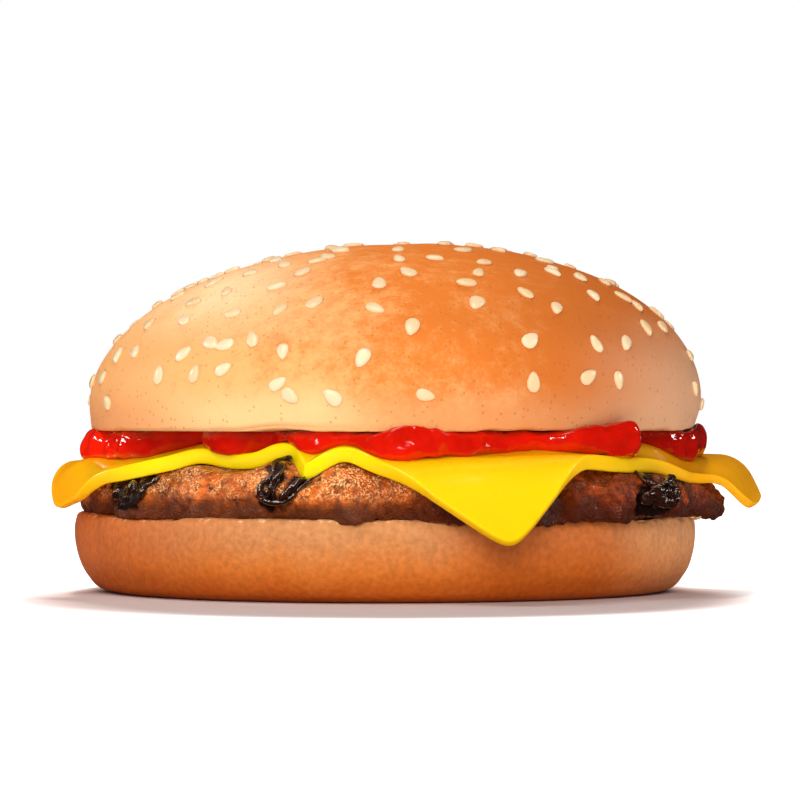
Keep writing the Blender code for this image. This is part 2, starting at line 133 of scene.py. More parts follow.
# Ridges of burnt juice on its side: thickness, then points (to the right, up), in millimetres
CURLS = (
    (0.9, (-15.1, 20.2), (-15.6, 21.0), (-16.5, 21.2), (-17.3, 20.5), (-16.9, 19.2),
     (-17.0, 18.0), (-18.0, 17.3), (-18.1, 16.4), (-17.8, 15.4), (-16.5, 14.7),
     (-14.8, 14.7), (-13.8, 15.2), (-12.9, 16.4), (-11.3, 18.0), (-9.9, 19.0)),
    (0.8, (-15.7, 20.6), (-15.6, 19.2), (-16.3, 18.0), (-16.8, 16.4), (-17.2, 15.4)),
    (0.6, (-15.6, 18.2), (-16.0, 16.8), (-16.1, 15.1)),
    (1.1, (-15.4, 15.1), (-13.8, 16.8), (-12.2, 18.5)),
    (1.0, (38.6, 19.6), (39.5, 18.8), (39.1, 17.7), (39.9, 16.5)),
    (2.4, (37.9, 14.3), (39.0, 15.5), (40.4, 15.9), (42.4, 15.7)),
    (1.2, (39.0, 17.3), (40.5, 16.9), (41.9, 17.3), (43.2, 18.0), (44.7, 17.9)),
    (2.0, (39.3, 13.7), (40.2, 14.6), (41.5, 14.4), (42.7, 15.3)),
    (1.2, (42.2, 17.1), (42.7, 15.9), (41.9, 14.6)),
    (0.8, (-37.4, 14.2), (-36.4, 15.4), (-36.2, 16.6), (-35.3, 17.5), (-34.9, 18.3)),
    (2.2, (-40.1, 17.4), (-40.3, 16.2), (-39.4, 14.9)),
    (2.0, (-38.4, 17.6), (-37.8, 16.4), (-38.0, 15.0)),
)
JUICE_SUNK = 0.0010  # how far the middle of a ridge lies inside the patty's side
JUICE_WRINKLES = ((0.00018, 0.0008, 72), (0.00008, 0.0004, 73))
# JUICE_GLINT is a painted highlight: pale specks that stand in for glints on the glossy ridges
JUICE_LIGHT, JUICE_GLINT = (0.030, 0.006, 0.002), (0.40, 0.28, 0.22)

# Cheese slice, as cut, and how it hangs over the patty
SLICE_TURN = 13.0  # azimuth of its front corner
SLICE_MIDDLE = (0.0024, -0.0016)  # from the middle of the patty
SLICE_CORNER = 30.0  # power of the rounded square: higher is sharper
SLICE_FLOOR = PATTY_TOP + GAP
SAG = 0.0008  # how far the rim of the slice settles on the patty's rounded edge
SAG_FROM, SAG_OVER = 0.0395, 0.0075
# Corners that hang: azimuth they face, distance to the bend, bend radius, droop (degrees)
FLAPS = (
    (-62.0, 0.0486, 0.0038, 80.0),
    (6.5, 0.0453, 0.0070, 60.0),
    (79.0, 0.0463, 0.0050, 58.0),
    (193.0, 0.0480, 0.0050, 60.0),
)
# Waves in its rim: azimuth, half width (degrees), lift, radius where the wave starts, push outward
WAVES = (
    (-77.0, 7.0, 0.0, 0.050, 0.0006),
    (-66.0, 6.0, -0.0007, 0.043, 0.0022),
    (-57.0, 5.0, -0.0010, 0.043, 0.0024),
    (-44.0, 5.0, 0.0009, 0.029, 0.0),
    (-24.5, 5.0, 0.0012, 0.029, 0.0),
    (-24.0, 4.5, 0.0007, 0.038, 0.0),
    (-17.8, 3.5, -0.0017, 0.043, 0.0034),
    (-11.0, 4.2, 0.0013, 0.029, 0.0),
    (-11.0, 4.2, 0.0004, 0.038, 0.0),
    (30.0, 9.0, 0.0007, 0.029, 0.0),
    (69.0, 11.0, -0.0019, 0.040, 0.0010),
    (88.0, 9.0, -0.0004, 0.040, 0.0026),
    (102.0, 6.0, 0.0, 0.050, -0.0027),
    (114.0, 8.0, 0.0, 0.050, 0.0022),
)
WAVE_OVER = 0.0070
# The melted slice gets thinner near its rim: from this share of the way, by this share
THINS_FROM, RIM_THINNER = 0.78, 0.06
# and more at its corners: azimuth, half width (degrees), by this share
THINNER = ((-77.0, 14.0, 0.38), (13.0, 16.0, 0.25), (82.0, 20.0, 0.42), (193.0, 20.0, 0.30))
# Swells behind its rim: azimuth, half width (degrees), radius, half depth, lift
SWELLS = ((-50.0, 7.0, 0.0375, 0.0045, 0.0010), (63.0, 10.0, 0.0385, 0.0050, 0.0013))
# Its other tones, as factors of its colour, and where they set in from left to right: a duller tone at
# random, a lit yellow painted on the front left, and painted shade, a deeper orange, at both sides
CHEESE_DULL, CHEESE_LIT, CHEESE_SHADED = (0.97, 0.93, 1.0), (1.0, 1.29, 1.0), (0.98, 0.66, 1.0)
CHEESE_LIT_BETWEEN = (-0.042, -0.032, -0.010, 0.002)
CHEESE_LEFT_SHADE_TO, CHEESE_RIGHT_SHADE_FROM = (-0.050, -0.040), (0.034, 0.050)

# Ketchup, and the lobes that were squeezed out: azimuth, half width (degrees), reach
LOBES = (
    (-82.0, 22.0, 0.0056),
    (-50.0, 6.0, -0.0062),
    (-38.0, 6.0, 0.0006),
    (-28.5, 4.5, -0.0045),
    (1.0, 10.0, 0.0032),
    (22.0, 9.0, -0.0012),
    (36.0, 8.0, 0.0026),
    (44.0, 4.5, 0.0036),
    (61.0, 9.5, -0.0070),
    (89.0, 11.0, 0.0017),
    (140.0, 16.0, 0.0022),
    (188.0, 14.0, 0.0030),
    (226.0, 12.0, 0.0012),
)
# Where it is smeared up the edge of the upper bun: azimuth, half width (degrees), height
SMEARS = (
    (-30.0, 6.0, 0.0004),
    (3.0, 6.0, 0.0010),
    (42.0, 6.0, 0.0009),
    (86.0, 10.0, 0.0006),
    (190.0, 9.0, 0.0008),
)
SAUCE_EDGE = 0.0026  # width of its rounded rim
SAUCE_UP, SAUCE_UP_FROM = 0.0003, (0.0464, 0.0012)  # how far it rises beyond the upper bun's edge
SAUCE_LEAN, SAUCE_LEAN_AT = 0.0017, (-92.0, 24.0)  # how far the rim leans in at the left lobe
SAUCE_WAVES = ((0.0007, 0.0055, 51), (0.0002, 0.0024, 52))
SAUCE_LUMPS = ((0.00045, 0.0030, 53), (0.00024, 0.0016, 56))
# Its other tones, as factors of its colour, and where they set in from left to right: a thicker tone at
# random, painted shade on the right and painted light on the left
SAUCE_THICK, SAUCE_SHADED, SAUCE_LIT = (0.50, 0.45, 0.6), (0.36, 0.3, 0.6), (1.25, 1.6, 1.0)
SAUCE_LIT_TO, SAUCE_SHADE_FROM = (-0.046, -0.036), (0.034, 0.044)

# Upper half of the bun
CROWN_X = 0.0012
CROWN_BASE = 0.0250
CROWN_SKIRT = 0.0044  # from the cut to the widest ring
CROWN_TUCK = 0.0010  # how far the skirt runs in, down to the cut
CROWN_EDGE = 0.0009  # rounding of the lower edge
CROWN_LEAN = 0.0011  # the right side is this much higher, and the left side lower
CROWN_POWER = 2.08  # over 2 makes the dome flatter on top than an ellipse
CROWN_SWELLS = ((0.00030, 0.0160, 63), (0.00012, 0.0060, 64))
CROWN_SKIN_IN = 0.00015  # how far the swelling crust lies behind the plain one
CROWN_WAVES = ((0.00035, 0.0090, 61), (0.00018, 0.0030, 62))  # up and down, in its lower edge
# Clouds of browner crust: size (cells to the metre), contrast, share in how brown it is
CRUST_CLOUDS = ((75.0, 1.6, 0.75), (420.0, 1.8, 0.60), (1900.0, 1.6, 0.45))
CRUST_PORES = {"Size": 1500.0, "Width": 0.30, "Cover": 0.35, "Cloud": 60.0}
# painted shade: tints that darken its right end and the low part of its left end
CROWN_SHADED_RIGHT, CROWN_LEFT_SHADE = (0.70, 0.66, 0.70), (0.92, 0.80, 0.74)  # tints of its two ends
# Where its colours change: up the side, then from left to right, then from the front to the back. Among
# them are painted light and shade: the glow near the cut, the sheen on the shoulder, the browner top and
# the darker ends
CROWN_PALE_TO, CROWN_LOW_TO = (0.0270, 0.0350), (0.0285, 0.0345)
CROWN_PALER_RIGHT_TO, CROWN_SHEEN_UP, CROWN_HIGH = (0.034, 0.048), (0.037, 0.050), (0.041, 0.054)
CROWN_BROWN_AND_SHADE_OVER, CROWN_HIGH_FROM = (-0.045, 0.035), (-0.032, -0.004)
CROWN_GLOW_BETWEEN, CROWN_SHEEN_TO = (-0.040, -0.022, -0.012, 0.004), (-0.030, -0.004)
CROWN_LEFT_SHADE_TO, CROWN_PALER_RIGHT_FROM, CROWN_SHADE_FROM = (-0.046, -0.022), (0.024, 0.050), (0.0, 0.042)
CROWN_SHEEN_BACK = (-0.022, 0.004)

# Sesame seeds
SEED_ROWS, SEED_SIDES = 7, 12
SEED_PROUD = 0.25  # how far a seed's middle stands off the crust, in half thicknesses
SEED_TOASTED = (0.92, 0.80, 0.66)  # the darkest seeds, as factors of the seeds' colour
SEED_LOWEST = 1.025  # share of the way down the crust
SEED_STEEP = 0.28  # part of the seeds that stay where the crust is upright
SEED_TOUCHING = 0.0024  # least distance of a pair's middles
SEED_PAIRS = 20  # seeds that lie against another one

# Stage
FLOOR_HALF, FLOOR_UNDER = 4.0, 0.00005
# The floor has its own colour round this place, a painted shadow that darkens and tints the burger's own
# shadow, and turns white between these distances
FLOOR_SHADOW_MIDDLE, FLOOR_FAR = (0.0, -0.030, 0.0), (0.049, 0.063)
SUN_SOFTNESS = 9.0  # degrees
LIGHTS_AIM = (0.0, 0.0, 0.025)
SPARKLES = {"front": (-0.28, -1.00, 0.60), "left": (-0.90, 0.20, 0.45), "right": (0.95, 0.10, 0.45)}
CAMERA_PLACE = (0.00204, -0.600, 0.028)
CAMERA_LENS = 171.7  # millimetres
CAMERA_SHIFT = 11 / 800  # the picture's middle lies 11 of its 800 pixels above the camera's axis


def turned(angle):
    """The angle brought between minus and plus half a turn."""
    return (angle + np.pi) % (2 * np.pi) - np.pi


def bell(azimuth, middle, half_width):
    """A smooth bump of height 1 at the azimuth `middle`, which is in degrees, as half_width is."""
    return np.exp(-((turned(azimuth - np.radians(middle)) / np.radians(half_width)) ** 2))


def ramp(value, start, over):
    """0 below start, 1 from start + over, and smooth between them."""
    t = np.clip((value - start) / over, 0.0, 1.0)
    return t * t * (3 - 2 * t)


def azimuth_of(x, y):
    """Angle about +Z of a place, from the front towards the right."""
    return np.arctan2(x, -y)


def full_turn(count):
    """A row of even steps round the burger, in radians."""
    return (np.arange(count) * 2 * np.pi / count)[None, :]


def arc(first, last, count):
    """A column of even steps between two angles, which are in degrees, in radians."""
    return np.radians(np.linspace(first, last, count))[:, None]


def disc_rows(shares, radius, height):
    """Profile rows of a flat disc: each at a share of the radius, all at one height."""
    return shares[:, None] * (radius, 0) + (0, height)


def arc_rows(turn, radius, reach, power, height, rise):
    """Profile rows of an arc: radius + reach * cos ** power out, and height + rise * sin up."""
    return np.hstack((radius + reach * np.cos(turn) ** power, height + rise * np.sin(turn)))


def unit(vectors):
    """The vectors, each divided by its length."""
    return vectors / np.maximum(np.linalg.norm(vectors, axis=-1, keepdims=True), 1e-12)


def corner_values(ix, iy, iz, salt):
    """A repeatable number from -1 to 1 for each corner of a lattice, mixed from its place."""
    mask = np.uint64(0xFFFFFFFF)
    mixed = (
        ix.astype(np.int64) * 374761393
        + iy.astype(np.int64) * 668265263
        + iz.astype(np.int64) * 1440662683
        + salt * 974634777
    ).astype(np.uint64) & mask
    mixed = ((mixed ^ (mixed >> np.uint64(13))) * np.uint64(1274126177)) & mask
    mixed = mixed ^ (mixed >> np.uint64(16))
    return mixed.astype(float) / float(0xFFFFFFFF) * 2 - 1


def noise(points, cell, salt):
    """Smooth noise from -1 to 1, one cell to a lump: lattice values blended along each axis."""
    place = points / cell
    low = np.floor(place)
    part = place - low
    part = part * part * (3 - 2 * part)
    total = 0.0
    for dx in (0, 1):
        for dy in (0, 1):
            for dz in (0, 1):
                weight = (
                    (part[..., 0] if dx else 1 - part[..., 0])
                    * (part[..., 1] if dy else 1 - part[..., 1])
                    * (part[..., 2] if dz else 1 - part[..., 2])
                )
                corner = low + (dx, dy, dz)
                columns = (corner[..., axis] for axis in range(3))
                total = total + weight * corner_values(*columns, salt)
    return total


def layered(points, layers):
    """Noise of several sizes added up, each layer multiplied by its height."""
    return sum(height * noise(points, cell, salt) for height, cell, salt in layers)


def granules(points, cell, salt):
    """Distance in cells to the nearest point of a jittered lattice, and that point's own number."""
    place = points / cell
    low = np.floor(place)
    nearest = np.full(place.shape[:-1], 9.0)
    own = np.zeros(place.shape[:-1])
    for step in np.ndindex(3, 3, 3):
        corner = low + np.array(step) - 1
        columns = [corner[..., axis] for axis in range(3)]
        jitter = np.stack([corner_values(*columns, salt + axis) for axis in range(3)], axis=-1)
        distance = np.linalg.norm(place - corner - 0.5 - 0.45 * jitter, axis=-1)
        own = np.where(distance < nearest, corner_values(*columns, salt + 3), own)
        nearest = np.minimum(nearest, distance)
    return nearest, own


def outward(points):
    """Unit normals of a grid whose rows run down and whose columns close round: down times across."""
    down = np.gradient(points, axis=0)
    across = np.roll(points, -1, axis=1) - np.roll(points, 1, axis=1)
    return unit(np.cross(down, across))


def shell(name, points, material, **fields):
    """A closed mesh from a grid of points, or one mesh from several grids of the same size.

    Rows run from the upper pole to the lower one, and the first and the last row each
    become one point. A field gives every point a number that the material reads.
    """
    rows, columns = points.shape[-3:-1]
    count = (rows - 2) * columns + 2
    copies = points.size // (rows * columns * 3)

    def flattened(grid, values):
        grid = grid.reshape(copies, rows, columns, values)
        first, last = grid[:, :1].mean(axis=2), grid[:, -1:].mean(axis=2)
        body = grid[:, 1:-1].reshape(copies, -1, values)
        return np.concatenate((first, body, last), axis=1).reshape(-1, values)

    ring = np.arange(columns)
    after = (ring + 1) % columns
    starts = 1 + np.arange(rows - 3)[:, None] * columns
    quads = np.stack(
        (starts + ring, starts + columns + ring, starts + columns + after, starts + after), axis=-1
    ).reshape(-1, 4)
    top = np.stack((np.zeros(columns, int), 1 + ring, 1 + after), axis=-1)
    last = count - 1 - columns
    foot = np.stack((np.full(columns, count - 1), last + after, last + ring), axis=-1)
    corners = np.concatenate((quads.ravel(), top.ravel(), foot.ravel()))
    corners = (np.arange(copies)[:, None] * count + corners).ravel()
    sizes = np.tile(np.concatenate((np.full(len(quads), 4), np.full(2 * columns, 3))), copies)
    return mesh_object(name, flattened(points, 3), corners, sizes, material, **{
        key: flattened(grid, 1).ravel() for key, grid in fields.items()
    })


def mesh_object(name, places, corners, sizes, material, **fields):
    """A smooth mesh from its points, the corners of its faces in a row, and the faces' sizes."""
    mesh = bpy.data.meshes.new(name)
    mesh.vertices.add(len(places))
    mesh.vertices.foreach_set("co", places.ravel())
    mesh.loops.add(len(corners))
    mesh.loops.foreach_set("vertex_index", corners)
    mesh.polygons.add(len(sizes))
    mesh.polygons.foreach_set("loop_start", np.cumsum(sizes) - sizes)
    mesh.update(calc_edges=True)
    mesh.shade_smooth()
    for key, values in fields.items():
        mesh.attributes.new(key, "FLOAT", "POINT").data.foreach_set("value", values)
    mesh.materials.append(material)
    piece = bpy.data.objects.new(name, mesh)
    bpy.context.scene.collection.objects.link(piece)
    return piece


def spun_grid(profile, columns):
    """Radii and heights of a profile carried round the Z axis, as a grid with its azimuths."""
    radius = np.repeat(profile[:, :1], columns, axis=1)
    height = np.repeat(profile[:, 1:], columns, axis=1)
    return radius, height, full_turn(columns)


def placed(radius, azimuth, height):
    """Points from their distance to the Z axis, their azimuth and their height."""
    x, y = radius * np.sin(azimuth), -radius * np.cos(azimuth)
    return np.stack(np.broadcast_arrays(x, y, height), -1)


def rim_lift(radius, azimuth, sagging=1.0):
    """Height that the waves and the sag add near the slice's rim.

    Each wave is a bell in azimuth times a ramp in radius, and each swell a bell in both. Of
    the waves that drop, only the part `sagging` counts.
    """
    total = -SAG * ramp(radius, SAG_FROM, SAG_OVER)
    for middle, width, lift, start, _ in WAVES:
        kept = 1.0 if lift > 0 else sagging
        total = total + kept * lift * bell(azimuth, middle, width) * ramp(radius, start, WAVE_OVER)
    for middle, width, reach, deep, lift in SWELLS:
        across = np.exp(-(((radius - reach) / deep) ** 2))
        total = total + lift * bell(azimuth, middle, width) * across
    return total


def fold_drop(x, y, height):
    """How far the folds lower a point that is `height` above the slice's underside.

    Past its line each fold is a circle's arc, followed up to where it turns steep.
    """
    total = 0.0
    for faces, distance, bend, _ in FLAPS:
        along = x * np.sin(np.radians(faces)) - y * np.cos(np.radians(faces))
        outer = bend + height
        over = np.clip(along - distance, 0.0, outer * 0.97)
        total = total + outer - np.sqrt(outer**2 - over**2)
    return total


def slice_underside(x, y):
    """Height of the slice's underside: flat, less the folds' arcs, plus the waves of its rim."""
    return SLICE_FLOOR - fold_drop(x, y, 0.0) + rim_lift(np.hypot(x, y), azimuth_of(x, y))


def thinning(share, azimuth):
    """What is left of the slice's thickness at a share of the way from its middle to its rim."""
    thinner = sum(amount * bell(azimuth, middle, width) for middle, width, amount in THINNER)
    return 1 - (RIM_THINNER + thinner) * ramp(share, THINS_FROM, 1 - THINS_FROM)


def cheese_face(x, y, side, thick):
    """Height of the slice's upper face. Narrow tongues that sag are partly followed, being steep."""
    lift = rim_lift(np.hypot(x, y), azimuth_of(x, y), 0.35)
    turned_by = np.radians(SLICE_TURN - 45)
    across, back = x - SLICE_MIDDLE[0], y - SLICE_MIDDLE[1]
    first = np.abs(across * np.sin(turned_by) - back * np.cos(turned_by))
    second = np.abs(across * np.cos(turned_by) + back * np.sin(turned_by))
    thick = thick * thinning(np.maximum(first, second) * 2 / side, azimuth_of(x, y))
    return SLICE_FLOOR + thick - fold_drop(x, y, thick) + lift


def draped(points):
    """The underside of the slice over the patty.

    A flat rounded square is turned and moved into place, and waved. What lies past the
    line of each fold bends down round an arc and then runs straight, at the flap's droop.
    """
    a, b = points[..., 0], points[..., 1]
    longest = np.maximum(np.maximum(np.abs(a), np.abs(b)), 1e-9)
    power_sum = (np.abs(a) / longest) ** SLICE_CORNER + (np.abs(b) / longest) ** SLICE_CORNER
    rounding = np.maximum(power_sum, 1.0) ** (-1 / SLICE_CORNER)
    a, b = a * rounding, b * rounding
    first, second = np.radians((SLICE_TURN - 45, SLICE_TURN + 45))
    x = a * np.sin(first) + b * np.sin(second) + SLICE_MIDDLE[0]
    y = -a * np.cos(first) - b * np.cos(second) + SLICE_MIDDLE[1]
    reach = np.hypot(x, y)
    azimuth = azimuth_of(x, y)
    for middle, width, _, start, push in WAVES:
        near_rim = ramp(reach, start - WAVE_OVER, WAVE_OVER)
        reach = reach + push * bell(azimuth, middle, width) * near_rim
    x, y = reach * np.sin(azimuth), -reach * np.cos(azimuth)
    z = SLICE_FLOOR + rim_lift(reach, azimuth)
    for faces, distance, bend, droop in FLAPS:
        out_x, out_y = np.sin(np.radians(faces)), -np.cos(np.radians(faces))
        droop = np.radians(droop)
        over = np.maximum(x * out_x + y * out_y - distance, 0.0)
        bent = np.minimum(over / bend, droop)
        straight = np.maximum(over - bend * droop, 0.0)
        inward = over - bend * np.sin(bent) - straight * np.cos(droop)
        x, y = x - inward * out_x, y - inward * out_y
        z = z - bend * (1 - np.cos(bent)) - straight * np.sin(droop)
    return np.stack((x, y, z), axis=-1)


def heel_top(radius):
    """Height of the lower bun's top, which rounds down over its shoulder, and 0 past its wall."""
    share = np.clip((radius - HEEL_RADIUS + HEEL_SHOULDER) / HEEL_SHOULDER, 0.0, 1.0)
    height = HEEL_WIDEST + (HEEL_HEIGHT - HEEL_WIDEST) * np.sqrt(1 - share**4)
    return np.where(share < 1.0, height, 0.0)


def char_bump(azimuth, column):
    """How far the charred lumps stand out (column 2) or rise (column 3) at an azimuth."""
    return sum(lump[column] * bell(azimuth, lump[0], lump[1]) for lump in CHARS)


def patty_raised(azimuth):
    """How much higher the patty's rim is at an azimuth, over its charred and its plain lumps."""
    plain = sum(up * bell(azimuth, middle, width) for middle, width, up in LUMPS)
    return char_bump(azimuth, 3) + plain


def smooth_path(points, count):
    """Points spread evenly along a smooth curve through the given ones.

    Each stretch is a cubic that keeps the slope between the points on both sides of its ends.
    """
    points = np.array(points)
    padded = np.vstack((2 * points[0] - points[1], points, 2 * points[-1] - points[-2]))
    place = np.linspace(0, len(points) - 1 - 1e-9, count)
    part = (place % 1.0)[:, None]
    before, start, end, after = (padded[place.astype(int) + step] for step in range(4))
    return 0.5 * (
        2 * start
        + (end - before) * part
        + (2 * before - 5 * start + 4 * end - after) * part**2
        + (3 * start - before - 3 * end + after) * part**3
    )


def crust_point(share, azimuth, radius, rise):
    """Point of the crust, from the middle of the cut, at a share of the way down.

    From 0 to 1 the share runs over the dome, an ellipse with a flatter top, and from 1 on
    down the skirt, which a parabola tucks in.
    """
    fall = np.minimum(share, 1.0) * np.pi / 2
    below = np.maximum(share - 1.0, 0.0) * np.pi / 2 * radius
    reach = radius * np.sin(fall) - CROWN_TUCK * (below / CROWN_SKIRT) ** 2
    lean = CROWN_LEAN * np.sin(azimuth) * np.sin(fall)
    height = CROWN_SKIRT + lean - below + rise * np.maximum(np.cos(fall), 0.0) ** (2 / CROWN_POWER)
    return placed(reach, azimuth, height)


def crust_swell(points):
    """How far the crust swells out at points that are measured from the middle of the cut."""
    return (layered(points, CROWN_SWELLS) - CROWN_SKIN_IN) * ramp(points[..., 2], 0.0, 0.002)


def node(tree, kind, inputs=None, **settings):
    """A shader node with its settings. Each of its inputs gets a value, or a link from a socket."""
    made = tree.nodes.new("ShaderNode" + kind)
    for name, value in settings.items():
        setattr(made, name, value)
    for name, value in (inputs or {}).items():
        if isinstance(value, bpy.types.NodeSocket):
            tree.links.new(value, made.inputs[name])
        else:
            made.inputs[name].default_value = value
    return made


def blended(tree, share, first, second):
    """The colour between two colours, by a share from 0 to 1."""
    return node(tree, "Mix", {0: share, 6: first, 7: second}, data_type="RGBA").outputs[2]


def spread(tree, value, low, high, first=0.0, second=1.0):
    """A value carried smoothly from the range low to high over to the range first to second."""
    made = node(tree, "MapRange", {0: value, 1: low, 2: high, 3: first, 4: second})
    made.interpolation_type = "SMOOTHSTEP"
    return made.outputs[0]


def maths(tree, operation, first, second):
    return node(tree, "Math", {0: first, 1: second}, operation=operation).outputs[0]


def times(tree, first, second):
    return maths(tree, "MULTIPLY", first, second)


def multiplied(tree, share, first, second):
    """The first colour, multiplied by the second one for a share from 0 to 1."""
    inputs = {0: share, 6: first, 7: second}
    return node(tree, "Mix", inputs, data_type="RGBA", blend_type="MULTIPLY").outputs[2]


def band(tree, value, sets_in, full, fades, gone):
    """A mask that rises from the first value to the second and falls from the third to the last."""
    return times(tree, spread(tree, value, sets_in, full), spread(tree, value, fades, gone, 1.0, 0.0))


def cloudy(tree, height, cloud, amount):
    """A height that a cloud lifts by up to an amount, so that a border at it is uneven."""
    return maths(tree, "ADD", height, times(tree, cloud, amount))


def field(tree, name):
    """The number that the mesh keeps at each point under this name."""
    return node(tree, "Attribute", attribute_name=name).outputs["Fac"]


def new_group(name, inputs, outputs):
    """An empty shader node group with its sockets.

    Each input is given by its name and default, none for a vector, and each output by its
    name and kind.
    """
    group = bpy.data.node_groups.new(name, "ShaderNodeTree")
    for label, value in inputs.items():
        kind = "NodeSocketVector" if value is None else "NodeSocketFloat"
        if isinstance(value, tuple):
            kind = "NodeSocketColor"
        socket = group.interface.new_socket(label, in_out="INPUT", socket_type=kind)
        if value is not None:
            socket.default_value = value
    for label, kind in outputs.items():
        group.interface.new_socket(label, in_out="OUTPUT", socket_type=kind)
    given = group.nodes.new("NodeGroupInput").outputs
    return group, given, group.nodes.new("NodeGroupOutput").inputs


def mottle_group():
    """Two tones that cloud into each other, coarse clouds and finer ones together."""
    name = "food mottle"
    if name in bpy.data.node_groups:
        return bpy.data.node_groups[name]
    group, given, result = new_group(
        name,
        {"Vector": None, "Size": 100.0, "Contrast": 1.0, "Light": WHITE, "Dark": (0.0, 0.0, 0.0, 1.0)},
        {"Color": "NodeSocketColor", "Mask": "NodeSocketFloat"},
    )
    noisy = node(group, "TexNoise", {"Vector": given["Vector"], "Scale": given["Size"], "Detail": 5.0})
    centred = maths(group, "SUBTRACT", noisy.outputs["Fac"], 0.5)
    sharper = times(group, centred, given["Contrast"])
    share = node(group, "Clamp", {0: maths(group, "ADD", sharper, 0.5)}).outputs[0]
    group.links.new(share, result["Mask"])
    group.links.new(blended(group, share, given["Dark"], given["Light"]), result["Color"])
    return group


def pores_group():
    """Small round spots in some of the cells of a lattice, thicker where a coarse cloud is."""
    name = "food pores"
    if name in bpy.data.node_groups:
        return bpy.data.node_groups[name]
    group, given, result = new_group(
        name,
        {"Vector": None, "Size": 1500.0, "Width": 0.25, "Cover": 0.5, "Cloud": 80.0},
        {"Mask": "NodeSocketFloat"},
    )
    spots = node(group, "TexVoronoi", {"Vector": given["Vector"], "Scale": given["Size"]})
    inside = maths(group, "LESS_THAN", spots.outputs["Distance"], given["Width"])
    chosen = node(group, "SeparateColor", {0: spots.outputs["Color"]}).outputs[0]
    cloud = node(group, "TexNoise", {"Vector": given["Vector"], "Scale": given["Cloud"], "Detail": 2.0})
    kept = maths(group, "LESS_THAN", chosen, times(group, cloud.outputs["Fac"], given["Cover"]))
    group.links.new(times(group, inside, kept), result["Mask"])
    return group


def grouped(tree, group, **inputs):
    """The outputs of a node group that is placed in a material with its own values."""
    made = tree.nodes.new("ShaderNodeGroup")
    made.node_tree = group
    for label, value in inputs.items():
        if isinstance(value, bpy.types.NodeSocket):
            tree.links.new(value, made.inputs[label])
        else:
            made.inputs[label].default_value = value
    return made.outputs


def clouds(tree, place, size, contrast):
    """A mask of soft clouds, with this many cells to the metre."""
    return grouped(tree, mottle_group(), Vector=place, Size=size, Contrast=contrast)["Mask"]


def two_tone(tree, place, size, contrast, light, dark):
    """The outputs of clouds in two colours."""
    tones = {"Light": rgba(light), "Dark": rgba(dark)}
    return grouped(tree, mottle_group(), Vector=place, Size=size, Contrast=contrast, **tones)


def new_material(name, **values):
    """A Principled material with plain values on its shader.

    Its tree, its shader's inputs and object coordinates come with it.
    """
    material = bpy.data.materials.new(name)
    material.use_nodes = True
    tree = material.node_tree
    shader = tree.nodes["Principled BSDF"]
    for label, value in values.items():
        shader.inputs[label.replace("_", " ")].default_value = value
    place = node(tree, "TexCoord").outputs["Object"]
    return material, tree, shader.inputs, place


def grainy(tree, shader, place, scale, detail, distance, strength):
    """Fine noise as a bump on the whole surface."""
    fine = node(tree, "TexNoise", {"Vector": place, "Scale": scale, "Detail": detail}).outputs["Fac"]
    bump = node(tree, "Bump", {"Height": fine, "Distance": distance, "Strength": strength})
    tree.links.new(bump.outputs["Normal"], shader["Normal"])


def rgba(colour):
    return (*colour, 1.0)


def scaled(colour, factors):
    """A colour with each of its parts multiplied by its own factor, and 1 at most."""
    return tuple(min(part * factor, 1.0) for part, factor in zip(colour, factors))


def colour_property(name, description, default):
    return FloatVectorProperty(
        name=name, description=description, default=default, subtype="COLOR", min=0, max=1,
    )


def length_property(name, description, default):
    return FloatProperty(
        name=name, description=description, default=default, unit="LENGTH", min=0, precision=5,
    )


def strength_property(name, description, default):
    return FloatProperty(name=name, description=description, default=default, min=0)


def amount_property(name, description, default):
    return IntProperty(name=name, description=description, default=default, min=0)


class LowerBunSettings(bpy.types.PropertyGroup):
    crust: colour_property("Crust", "Baked colour low on the side", (0.68, 0.200, 0.032))
    dark: colour_property("Dark", "Baked colour by the foot", (0.52, 0.105, 0.009))
    # partly painted shade: the paler soft crust is darkened for the shade that the patty casts on the
    # bun's top
    pale: colour_property("Pale", "Colour of the soft upper part of the side", (0.59, 0.260, 0.102))
    # painted light: the paler right end stands in for the fill light that whitens it
    end: colour_property("Right end", "Colour of the side at its right end", (0.78, 0.36, 0.155))
    crumb: colour_property("Crumb", "Colour of the cut bread", (0.90, 0.72, 0.46))
    grain: length_property("Grain", "Width of the speckles", 0.0009)


class CrumbSettings(bpy.types.PropertyGroup):
    count: amount_property("Count", "Number of crumbs", 24)
    draw: amount_property("Draw", "Seed of the random places", 4)
    size: length_property("Size", "Width of the largest crumb", 0.0009)
    colour: colour_property("Colour", "Colour of the torn bread", (0.86, 0.58, 0.34))


class PattySettings(bpy.types.PropertyGroup):
    radius: length_property("Radius", "Widest radius of the patty", 0.0506)
    granule: length_property("Granule", "Width of the grains of mince", 0.0019)
    seared: colour_property("Seared", "Colour on the raised grains", (0.64, 0.150, 0.011))
    # partly painted shade: the dark colour of the crevices between grains and of the deeper hollows
    deep: colour_property("Deep", "Colour between the grains", (0.060, 0.009, 0.002))
    hem: colour_property("Hem", "Colour of the lower quarter", (0.105, 0.022, 0.005))
    # painted highlight: pale flecks of fat, coloured as glints where the light falls on the upper part
    fat_and_glint: colour_property("Fat", "Colour of the small flecks of fat", (1.0, 0.52, 0.20))
    charred: colour_property("Charred", "Colour of the burnt spots", (0.010, 0.003, 0.002))


class CheeseSettings(bpy.types.PropertyGroup):
    side: length_property("Side", "Side of the square slice", 0.0848)
    thickness: length_property("Thickness", "Thickness of the slice", 0.0025)
    colour: colour_property("Colour", "Colour of the cheese", (1.0, 0.56, 0.002))


class SauceSettings(bpy.types.PropertyGroup):
    radius: length_property("Radius", "Reach of the sauce between its lobes", 0.0452)
    top: length_property("Top", "Height of the sauce under the upper bun", 0.0251)
    colour: colour_property("Colour", "Colour of the ketchup", (0.74, 0.008, 0.001))


